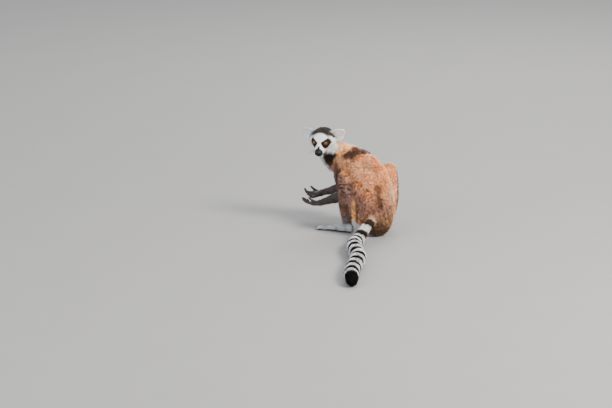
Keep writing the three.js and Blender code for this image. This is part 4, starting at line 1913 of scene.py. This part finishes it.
    def _form_muzzle(self) -> None:
        """Presses in the nostrils and the line of the mouth."""
        side = np.abs(self.anatomy.head.local(self.points)[:, 0])
        _, ahead, rise = self.anatomy.from_nose(self.points)
        front = ramp(ahead, -3.0, 0.0)
        nostril = bell(side, 3.2, 1.2) * bell(rise, -1.0, 1.4) * front
        comma = bell(side, 5.1, 1.1) * bell(rise, 0.4 + 0.5 * (side - 5.1), 0.7) * front
        cleft = bell(side, 0.0, 0.6) * front
        cleft *= ramp(rise, 1.0, -2.0) * ramp(rise, -11.5, -8.0)
        rim = bell(self.nose_pad(side, rise), 1.06, 0.10) * ramp(ahead, -5.0, -2.0)
        line = -9.0 + 0.14 * (ahead - 2.0) + 0.10 * side
        mouth = bell(rise, line, 0.8) * ramp(ahead, -28.0, -20.0)
        lip = bell(rise, line + 3.2, 2.1) * ramp(ahead, -20.0, -12.0)
        press = nostril * self.nostril_depth + comma * self.comma_depth + rim * self.pad_depth
        press += cleft * self.cleft_depth + mouth * self.mouth_depth
        press -= lip * self.lip_height * ramp(side, 1.0, 4.0)
        self.points = self.points - self.normals * press[:, None] * MM

    def nose_pad(self, side: Array, rise: Array) -> Array:
        """Under 1 on the bare pad of the nose, from distances aside and above its middle."""
        width, height = self.nose_pad_size
        return np.hypot(side / width, (rise - self.nose_pad_rise) / height)

    def dress(self, mesh: Mesh, markings: Markings) -> None:
        """Colours the skin like the coat over it, and darker where it shows bare.

        Args:
            mesh: The skin's mesh.
            markings: The coat's colours.
        """
        here, anatomy = self.fields, self.anatomy
        colour = markings.colours(self.points, here.weights, here.soft_normals)
        # Painted shade in the hollows.
        colour = colour * (1.0 - 0.5 * here.crease[:, None])
        right, ahead, rise = anatomy.from_nose(self.points)
        nose = ramp(ahead, -4.5, -3.0) * ramp(self.nose_pad(right, rise), 1.12, 0.98)
        radius = anatomy.eyes[0].radius
        rims = ramp(anatomy.eye_gap(self.points), radius + 3.0, radius + 1.4)
        bare = self.bareness()
        pale = 0.72 + 0.20 * here.share(Zone.HEAD, Zone.EAR)
        dark = (markings.rim, np.maximum(nose, rims))
        colour = layered(colour * pale[:, None], (markings.pad, bare * 0.75), dark)
        paint(mesh, colour, np.maximum(nose, bare * 0.4))

    def bareness(self) -> Array:
        """Finds where palms and soles are bare.

        Returns:
            1 where the skin is bare, 0 under hair.
        """
        here = self.fields
        bare = here.share(Zone.FOOT) * ramp(self.normals[:, 2], -0.2, -0.6)
        for hand in self.pose.hands():
            mine = here.share(Zone.HAND) * (here.is_left == (hand.side is Side.LEFT))
            bare = np.maximum(bare, mine * ramp(self.normals @ hand.up, 0.15, 0.55))
        return bare


# ---- the coat
@dataclass(frozen=True)
class CoatPiece:
    """One piece of the coat: its slot, the zones that it covers, and which places in them."""

    name: str
    slot: str
    zones: tuple[Zone, ...]
    finish: CoatFinish
    chosen: Callable[[Array, Anatomy], Array] | None = None


@dataclass
class Coat:
    """Grows the tufts.

    widest is how far along a tuft is widest, flat how flat it is there, sunk how deep it starts and
    clear how far it stays off the floor. lengths, widths and pulls are the least share of a size
    and the random share on top. roots_up and tips_up give a tuft's two slopes by its rise and its
    stray. eye_clear, nose_clear and sole are the limits that keep roots off those places.
    """

    skin: Skin
    markings: Markings
    widest: float = 0.38
    flat: float = 0.6
    sunk: float = 0.3
    clear: float = 0.3
    lengths: Pair = (0.72, 0.36)
    widths: Pair = (0.75, 0.5)
    roots_up: Pair = (1.45, 0.5)
    tips_up: Pair = (0.72, 0.3)
    lift_limits: Pair = (0.05, 0.7)
    rise_limits: Pair = (0.02, 0.9)
    lock_unevenness: float = 0.9
    lump_unevenness: float = 1.1
    pulls: Pair = (0.6, 0.4)
    pull_reach: float = 1.6
    middle_pull: float = 0.35
    lock_contrast: float = 0.40
    tuft_contrast: float = 0.30
    pale_calm: float = 0.65
    crease_shade: float = 0.45
    brightest: float = 0.96
    eye_clear: Pair = (16.0, 1.5)
    nose_clear: Pair = (-4.5, 1.08)
    sole: Pair = (0.6, -0.35)
    lowest_root: float = 0.4
    bare_limit: float = 0.5

    def __post_init__(self) -> None:
        """Scatters the roots over the whole skin and gathers them into locks."""
        self.random = np.random.default_rng(SEED)
        self._scatter()
        self._clump()

    def _scatter(self) -> None:
        """Chooses the roots by each triangle's area and the density there."""
        skin, here = self.skin, self.skin.fields
        corners = skin.points[skin.triangles]
        sides = np.cross(corners[:, 1] - corners[:, 0], corners[:, 2] - corners[:, 0])
        areas = np.linalg.norm(sides, axis=1) / (2.0 * MM * MM)
        density = here.sizes["density"][skin.triangles].mean(axis=1)
        expected = areas * density
        counts = np.floor(expected + self.random.random(len(expected))).astype(int)
        owner = np.repeat(np.arange(len(counts)), counts)
        first, second = self.random.random((2, len(owner)))
        flip = first + second > 1.0
        first[flip], second[flip] = 1.0 - first[flip], 1.0 - second[flip]
        shares = np.stack([1.0 - first - second, first, second], axis=1)
        triangles = skin.triangles[owner]

        def sample(values: Array) -> Array:
            """Reads a field at the roots."""
            return np.einsum("ij,ijk->ik", shares, values[triangles].reshape(len(owner), 3, -1))

        roots, normals = sample(skin.points), unit(sample(skin.normals))
        weights, bare = sample(here.weights), sample(skin.bareness()[:, None])[:, 0]
        keep = self._kept(roots, normals, weights) & (bare < self.bare_limit)
        self.roots, self.normals, self.weights = roots[keep], normals[keep], weights[keep]
        self.flow = unit(sample(here.flow))[keep]
        self.soft_normals = unit(sample(here.soft_normals))[keep]
        self.crease = sample(here.crease[:, None])[keep, 0]
        self.node = here.node_index[triangles[:, 0]][keep]
        self.sizes = {name: sample(size[:, None])[keep, 0] for name, size in here.sizes.items()}
        LOG.info("coat: %d roots", len(self.roots))

    def _kept(self, roots: Array, normals: Array, weights: Array) -> Array:
        """Leaves out roots on the eyes, the nose and the soles.

        Args:
            roots: The roots.
            normals: The skin's normals there.
            weights: Their shares of each zone.

        Returns:
            Which roots are kept.
        """
        anatomy = self.skin.anatomy
        right, ahead, rise = anatomy.from_nose(roots)
        front, pad = self.nose_clear
        keep = ~((ahead > front) & (self.skin.nose_pad(right, rise) < pad))
        for eye in anatomy.eyes:
            gap, slit, _ = eye.slit(roots)
            keep &= (gap > self.eye_clear[0]) | (slit > self.eye_clear[1])
        on_foot, facing = weights[:, Zone.FOOT.value] > self.sole[0], normals[:, 2] < self.sole[1]
        return keep & ~(on_foot & facing) & (roots[:, 2] > self.lowest_root * MM)

    def _clump(self) -> None:
        """Gathers the roots into locks: each joins the nearest of a thinner set of roots."""
        count = len(self.roots)
        chance = 1.0 / (self.sizes["density"] * self.sizes["clump"] ** 2)
        leaders = np.nonzero(self.random.random(count) < chance)[0]
        tree = KDTree(len(leaders))
        for index, place in enumerate(self.roots[leaders].tolist()):
            tree.insert(place, index)
        tree.balance()
        nearest = [tree.find(place)[1] for place in self.roots.tolist()]
        self.leader = leaders[np.array(nearest)]
        self.lock_shade = self.random.random(count)[self.leader]
        self.lock_lift = self.random.random(count)[self.leader]
        self.lock_turn = self.random.normal(0.0, 1.0, count)[self.leader]

    def _strands(self) -> tuple[Array, Array, Array, Array]:
        """Works out each tuft's middle line.

        Returns:
            The root, the middle, the tip and the width of every tuft.
        """
        count, sizes, random = len(self.roots), self.sizes, self.random

        def varied(name: str, limits: Pair) -> Array:
            """A size of every tuft, from a least share of it up."""
            return sizes[name] * (limits[0] + limits[1] * random.random(count))

        length = varied("length", self.lengths)
        lift = np.clip(sizes["depth"] / sizes["length"], *self.lift_limits)
        lumps = 0.6 * value_noise(self.roots, 8.0, 41) + 0.6 * value_noise(self.roots, 21.0, 42)
        uneven = self.lock_unevenness * (self.lock_lift - 0.5)
        uneven = uneven + self.lump_unevenness * (lumps - 0.6)
        rise = np.arcsin(np.clip(lift * (1.0 + sizes["bunch"] * uneven), *self.rise_limits))
        aside = np.cross(self.normals, self.flow)
        wander = random.normal(0.0, 1.0, (count, 2)) * sizes["jitter"][:, None]
        swing = (self.lock_turn * sizes["curl"])[:, None] + wander[:, :1]
        lying = unit(self.flow + aside * swing)

        def heading(limits: Pair) -> Array:
            """The way a tuft points, by shares of its rise and its stray."""
            angle = (rise * limits[0] + wander[:, 1] * limits[1])[:, None]
            return lying * np.cos(angle) + self.normals * np.sin(angle)

        length = length[:, None] * MM
        roots = self.roots - self.normals * (self.sunk * MM)
        middles = roots + heading(self.roots_up) * length * self.widest
        tips = middles + heading(self.tips_up) * length * (1.0 - self.widest)
        pull = varied("pull", self.pulls)[:, None]
        reach = np.linalg.norm(self.roots[self.leader] - self.roots, axis=1)
        pull = pull * (reach < self.pull_reach * sizes["clump"] * MM)[:, None]
        tips = tips + (tips[self.leader] - tips) * pull
        middles = middles + (middles[self.leader] - middles) * pull * self.middle_pull
        tips[:, 2] = np.maximum(tips[:, 2], self.clear * MM)
        middles[:, 2] = np.maximum(middles[:, 2], 2.0 * self.clear * MM)
        return roots, middles, tips, varied("width", self.widths) * MM

    def grow(self, pieces: Iterable[CoatPiece]) -> None:
        """Makes every piece of the coat.

        Args:
            pieces: The pieces, each with its zones and finish.
        """
        roots, middles, tips, width = self._strands()
        zone = self.weights.argmax(axis=1)
        face = self.weights[:, Zone.HEAD.value] * ramp(self.sizes["length"], 8.0, 5.0)
        seen = roots + (tips - roots) * (0.55 - 0.35 * face)[:, None]
        colour = self.markings.colours(seen, self.weights, self.soft_normals)
        stray = self.random.random(len(roots)) - 0.5
        spread = self.lock_contrast * (self.lock_shade - 0.5) + self.tuft_contrast * stray
        spread *= 1.0 - self.pale_calm * ramp(colour[:, 2], 0.4, 0.8)
        # Painted shade on the tufts in hollows.
        gain = (1.0 + spread) * (1.0 - self.crease_shade * self.crease)
        colour = np.minimum(colour * gain[:, None], self.brightest)
        unwrap = self._unwrap()
        for piece in pieces:
            here = np.isin(zone, [each.value for each in piece.zones])
            if piece.chosen is not None:
                here &= piece.chosen(self.roots, self.skin.anatomy)
            lines = [each[here] for each in (roots, middles, tips, width, self.normals)]
            mesh = self._tuft_mesh(piece.name, *lines)
            self._dress(mesh, colour[here], unwrap[here])
            LOG.info("%s: %d tufts", piece.name, int(here.sum()))
            present(mesh, piece.finish.material(), piece.slot)

    def _tuft_mesh(
        self, name: str, roots: Array, middles: Array, tips: Array, width: Array, normals: Array
    ) -> Mesh:
        """Makes closed pointed tufts, three-sided at their widest.

        Args:
            name: The mesh's name.
            roots: Each tuft's root.
            middles: Where each is widest.
            tips: Each tuft's tip.
            width: Each tuft's width.
            normals: The skin's normals at the roots.

        Returns:
            One mesh of all the tufts.
        """
        count = len(roots)
        along = unit(tips - roots)
        aside = unit(np.cross(along, normals))
        above = np.cross(aside, along)
        points = np.empty((count, 5, 3))
        points[:, 0] = roots
        points[:, 4] = tips
        for k, angle in enumerate(np.radians([90.0, 210.0, 330.0])):
            turned = aside * math.cos(angle) + above * (math.sin(angle) * self.flat)
            points[:, 1 + k] = middles + turned * width[:, None] * 0.5
        pattern = np.array([[0, 1, 2], [0, 2, 3], [0, 3, 1], [4, 2, 1], [4, 3, 2], [4, 1, 3]])
        triangles = (pattern[None] + np.arange(count)[:, None, None] * 5).reshape(-1, 3)
        return mesh_from_arrays(name, points.reshape(-1, 3), triangles)

    def _dress(self, mesh: Mesh, colour: Array, unwrap: Array) -> None:
        """Stores each tuft's colour, its place along the strand and its patch of the unwrap.

        Args:
            mesh: The tufts.
            colour: One colour to a tuft.
            unwrap: One spot of the unwrap to a tuft.
        """
        strand = np.array([0.0, 0.42, 0.42, 0.42, 1.0])
        paint(mesh, np.repeat(colour, 5, axis=0), np.tile(strand, len(colour)))
        half = BAKE_PATCH / 2.0
        corners = np.array([[0, -half], [-half, 0], [0, half * 0.3], [half, 0], [0, half]])
        spots = (unwrap[:, None, :] + corners[None]).reshape(-1, 2)
        layer = mesh.uv_layers.new(name=BAKE_MAP)
        loops = np.empty(len(mesh.loops), dtype=np.int32)
        mesh.loops.foreach_get("vertex_index", loops)
        layer.data.foreach_set("uv", spots[loops].astype(np.float32).ravel())

    def _unwrap(self) -> Array:
        """Unrolls the skin: each solid's roots by the turn round its middle and how far along.

        Returns:
            Rows of u and v, each solid in a cell of its own and the trunk in a cell of nine.
        """
        spots = np.zeros((len(self.node), 2))
        columns, wide, samples, edge = 6, 3, 4000, 0.03
        cells = [(column, row) for row in range(columns) for column in range(columns)]
        cells = [cell for cell in cells if max(cell) >= wide]
        for index, name in enumerate(self.skin.fields.names):
            here = self.node == index
            if here.sum() < 4:
                continue
            away = self.roots[here] - self.roots[here].mean(axis=0)
            thinned = away[:: max(1, len(away) // samples)]
            local = away @ np.linalg.svd(thinned, full_matrices=False)[2].T
            turn = np.arctan2(local[:, 2], local[:, 1]) / (2.0 * np.pi) + 0.5
            along = (local[:, 0] - local[:, 0].min()) / np.ptp(local[:, 0])
            corner, size = ((0, 0), wide) if name == "trunk" else (cells.pop(0), 1)
            share = np.stack([turn, along], axis=1) * (1.0 - 2.0 * edge) + edge
            spots[here] = (np.array(corner) + share * size) / columns
        return spots


# ---- nails and whiskers
@dataclass
class Nails:
    """A small dark nail on the tip of each digit. seat and ahead are shares of its radius."""

    pose: Pose
    length: float = 6.0
    width: float = 3.6
    thickness: float = 1.6
    taper: float = 1.1
    hook: float = 0.004
    seat: float = 0.48
    ahead: float = 0.05

    def build(self, finish: HornFinish) -> Thing:
        """Makes the nails as one piece.

        Args:
            finish: Their finish.

        Returns:
            The nails' object.
        """
        whole = bmesh.new()
        for extremity in self.pose.extremities():
            for digit in extremity.digits:
                self._nail(whole, digit.radius, *extremity.nail_frame(digit))
        return present(close_shape(whole, "nails"), finish.material(), "nose")

    def _nail(
        self, whole: Shape, radius: float, tip: Array, heading: Array, outward: Array
    ) -> None:
        """Adds one arched, pointed nail.

        Args:
            whole: Where the nail is added.
            radius: The digit's radius in millimetres.
            tip: The digit's tip.
            heading: The way the digit points there.
            outward: The way out of its back.
        """
        made = bmesh.ops.create_uvsphere(whole, u_segments=12, v_segments=10, radius=1.0)["verts"]
        size = Vector((self.width, self.length, self.thickness)) * MM / 2.0
        bmesh.ops.scale(whole, vec=size, verts=made)
        for vert in made:
            ahead = max(0.0, vert.co.y / (self.length * MM))
            vert.co.x *= 1.0 - self.taper * ahead
            vert.co.z -= vert.co.x**2 / (self.width * MM) + ahead**2 * self.hook
        axes = Matrix([np.cross(heading, outward), heading, outward]).transposed()
        bmesh.ops.rotate(whole, cent=(0.0, 0.0, 0.0), matrix=axes, verts=made)
        spot = tip + (outward * radius * self.seat + heading * radius * self.ahead) * MM
        bmesh.ops.translate(whole, vec=Vector(spot), verts=made)


@dataclass
class Whiskers:
    """Fine stiff hairs on the muzzle and over the eyes."""

    anatomy: Anatomy
    surface: BVHTree
    thickness: float = 0.34
    count: int = 9
    muzzle: Point = (8.0, 46.0, -13.0)
    column_back: float = 4.0
    row_down: float = 2.4
    muzzle_lengths: Pair = (20.0, 5.0)
    muzzle_rise: float = -0.15
    brow: Point = (12.0, 30.0, 12.0)
    brow_apart: float = 3.0
    brow_length: float = 14.0
    brow_rise: float = 0.9
    aside: float = 0.8
    ahead: float = 0.35
    stray: float = 0.14
    droop: float = 0.22
    sunk: float = 0.5

    def build(self, finish: HornFinish) -> Thing:
        """Makes the whiskers as one piece.

        Args:
            finish: Their finish.

        Returns:
            The whiskers' object.
        """
        self.whole, self.blank = bmesh.new(), self._blank()
        self.random = np.random.default_rng(SEED + 1)
        for side in Side:
            out, ahead, up = self.muzzle
            least, more = self.muzzle_lengths
            for index in range(self.count):
                row, column = index % 3, index // 3
                start = (out + column, ahead - self.column_back * column, up - self.row_down * row)
                self._hair(start, side, least + more * self.random.random(), self.muzzle_rise)
            out, ahead, up = self.brow
            for index in range(3):
                start = (out + self.brow_apart * index, ahead, up - index)
                self._hair(start, side, self.brow_length, self.brow_rise)
        bpy.data.meshes.remove(self.blank)
        return present(close_shape(self.whole, "whiskers"), finish.material(), "nose")

    def _blank(self) -> Mesh:
        """Makes a straight tapering hair in six rings.

        Returns:
            The hair, its length and radius 1.
        """
        hair = bmesh.new()
        shape = {"segments": 3, "radius1": 1.0, "radius2": 0.15, "depth": 1.0}
        raised = Matrix.Translation((0.0, 0.0, 0.5))
        bmesh.ops.create_cone(hair, cap_ends=True, matrix=raised, **shape)
        sides = [edge for edge in hair.edges if abs(edge.verts[0].co.z - edge.verts[1].co.z) > 0.5]
        bmesh.ops.subdivide_edges(hair, edges=sides, cuts=4, use_grid_fill=True)
        return close_shape(hair, "whisker_blank")

    def _hair(self, start: Point, side: Side, length: float, rise: float) -> None:
        """Sets one hair on the skin and lets it droop.

        Args:
            start: Where it starts, in millimetres out to the side, ahead and up.
            side: The side that it points to.
            length: Its length in millimetres.
            rise: How far it points up.
        """
        head = self.anatomy.head
        spot = Vector(head.place(side.value * start[0], *start[1:]))
        root = np.array(self.surface.find_nearest(spot)[0])
        heading = head.right * side.value * self.aside + head.forward * self.ahead + head.up * rise
        heading = unit(heading + self.random.normal(0.0, self.stray, 3))
        before = len(self.whole.verts)
        self.whole.from_mesh(self.blank)
        self.whole.verts.ensure_lookup_table()
        made = self.whole.verts[before:]
        shares = [vert.co.z for vert in made]
        across = unit(np.cross(head.up, heading))
        radius = self.thickness / 2.0
        axes = np.stack([across * radius, np.cross(heading, across) * radius, heading * length])
        place = Matrix.Translation(root - heading * self.sunk * MM)
        matrix = place @ Matrix((axes * MM).T).to_4x4()
        bmesh.ops.transform(self.whole, matrix=matrix, verts=made)
        for vert, share in zip(made, shares):
            vert.co -= Vector(head.up) * (share**2 * self.droop * length * MM)


# ---- the studio
@dataclass
class Studio:
    """The floor, the lights and the camera, behind the animal and a little above it.

    Each light has a name, a place in metres, a side in metres, watts and a colour.
    """

    target: Point = (-0.189, 0.050, 0.0752)
    distance: float = 9.0
    elevation: float = 14.0
    lens: float = 196.0
    sensor: float = 36.0
    far: float = 100.0
    floor_size: float = 30.0
    lit: Point = (0.0, 0.0, 0.12)
    sky: Colour = (0.93, 0.95, 1.0)
    sky_strength: float = 1.28
    lights: tuple[tuple[str, Point, float, float, Colour], ...] = (
        ("key", (2.3, -1.7, 2.6), 1.2, 345.0, (1.0, 0.96, 0.90)),
        ("fill", (-2.8, -2.4, 1.6), 2.6, 94.0, (0.90, 0.95, 1.0)),
        ("rim", (0.6, 2.6, 2.2), 1.6, 80.0, (1.0, 0.98, 0.95)),
    )

    def build(self) -> None:
        """Sets up the studio."""
        camera = bpy.data.cameras.new("camera")
        camera.lens, camera.sensor_width, camera.clip_end = self.lens, self.sensor, self.far
        lift = math.radians(self.elevation)
        ahead = Vector((0.0, math.cos(lift), -math.sin(lift)))
        place = Vector(self.target) - ahead * self.distance
        bpy.context.scene.camera = self._aimed(camera, place, ahead)
        sheet = bmesh.new()
        bmesh.ops.create_grid(sheet, x_segments=2, y_segments=2, size=self.floor_size / 2.0)
        floor = close_shape(sheet, "floor")
        floor.materials.append(FloorFinish().material())
        add_object("floor", floor)
        for name, place, size, power, colour in self.lights:
            light = bpy.data.lights.new(name, "AREA")
            light.size, light.energy, light.color = size, power, colour
            self._aimed(light, Vector(place), Vector(self.lit) - Vector(place))
        world = bpy.data.worlds.new("studio")
        bpy.context.scene.world = world
        world.use_nodes = True
        background = world.node_tree.nodes["Background"]
        NodeGraph(world.node_tree).fill(
            background, Color=(*self.sky, 1.0), Strength=self.sky_strength
        )

    def _aimed(
        self, data: bpy.types.Camera | bpy.types.Light, place: Vector, towards: Vector
    ) -> Thing:
        """Adds a camera or a light that faces one way.

        Args:
            data: The camera or the light.
            place: Where it stands.
            towards: The way it faces.

        Returns:
            Its object.
        """
        made = add_object(data.name, data)
        made.location = place
        made.rotation_euler = towards.to_track_quat("-Z", "Y").to_euler()
        return made


# ---- assembly
def front_of_head(points: Array, anatomy: Anatomy) -> Array:
    """Tells which points lie on the face, ahead of the ears."""
    return anatomy.head.local(points)[:, 1] > 8.0


def back_of_head(points: Array, anatomy: Anatomy) -> Array:
    """Tells which points lie behind the face."""
    return ~front_of_head(points, anatomy)


def between(low: float, high: float, axis: int = 2) -> Callable[[Array, Anatomy], Array]:
    """Makes a test for points that lie between two limits, in metres along x, y or z."""
    return lambda points, anatomy: (points[:, axis] >= low) & (points[:, axis] < high)


def left_side(points: Array, anatomy: Anatomy) -> Array:
    """Tells which points lie on the animal's left, clear of the right shin."""
    return points[:, 0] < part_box("shin_right")[0][0] - 0.012


def right_side(points: Array, anatomy: Anatomy) -> Array:
    """Tells which points lie on the animal's right."""
    return ~left_side(points, anatomy)


COAT_PIECES = tuple(
    CoatPiece(f"coat_{name}", f"coat_{slot}", zones, CoatFinish(*finish), *chosen)
    for name, slot, zones, finish, *chosen in (
        ("face", "face", (Zone.HEAD,), ("face_hair", 0.82, 0.1, 0.1), front_of_head),
        ("crown", "face", (Zone.HEAD, Zone.EAR), ("crown_hair", 0.8, 0.1, 0.1), back_of_head),
        ("neck", "limb", (Zone.NECK,), ("neck_hair",)),
        ("shoulders", "back", (Zone.TRUNK,), ("shoulder_hair",), between(0.150, 9.0)),
        ("back", "back", (Zone.TRUNK,), ("back_hair",), between(0.085, 0.150)),
        ("rump", "back", (Zone.TRUNK,), ("rump_hair",), between(-9.0, 0.085)),
        ("leg_left", "back", (Zone.THIGH, Zone.SHIN), ("leg_hair",), left_side),
        ("leg_right", "back", (Zone.THIGH, Zone.SHIN), ("far_leg_hair",), right_side),
        ("arms", "limb", (Zone.UPPER_ARM, Zone.FOREARM), ("arm_hair",)),
        ("hands", "hand", (Zone.HAND, Zone.FOOT), ("hand_hair", 0.7, 0.1, 0.2)),
        ("tail_root", "tail", (Zone.TAIL,), ("tail_hair", 0.55, 0.2, 0.2), between(-0.26, 9.0, 1)),
        ("tail_end", "tail", (Zone.TAIL,), ("tip_hair", 0.55, 0.2, 0.2), between(-9.0, -0.26, 1)),
    )
)


def main() -> None:
    """Builds the model and its studio."""
    logging.basicConfig(level=logging.INFO, format="%(message)s")
    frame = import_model()
    anatomy, pose = Anatomy(frame["nodes"]), Pose()
    Studio().build()

    skin, markings = Skin(anatomy, pose), Markings(anatomy)
    mesh = skin.build()
    skin.dress(mesh, markings)
    flesh = [name for name in anatomy.nodes if not name.startswith("eye")]
    present(mesh, SkinFinish().material(), "coat_back", *flesh)

    for eye in anatomy.eyes:
        eye.build(EyeFinish(f"eye_{eye.side.label}"))
    Nails(pose).build(HornFinish())
    surface = BVHTree.FromPolygons(skin.points.tolist(), skin.triangles.tolist())
    Whiskers(anatomy, surface).build(HornFinish("whisker", (0.02, 0.018, 0.016)))
    Coat(skin, markings).grow(COAT_PIECES)


if __name__ == "__main__":
    main()
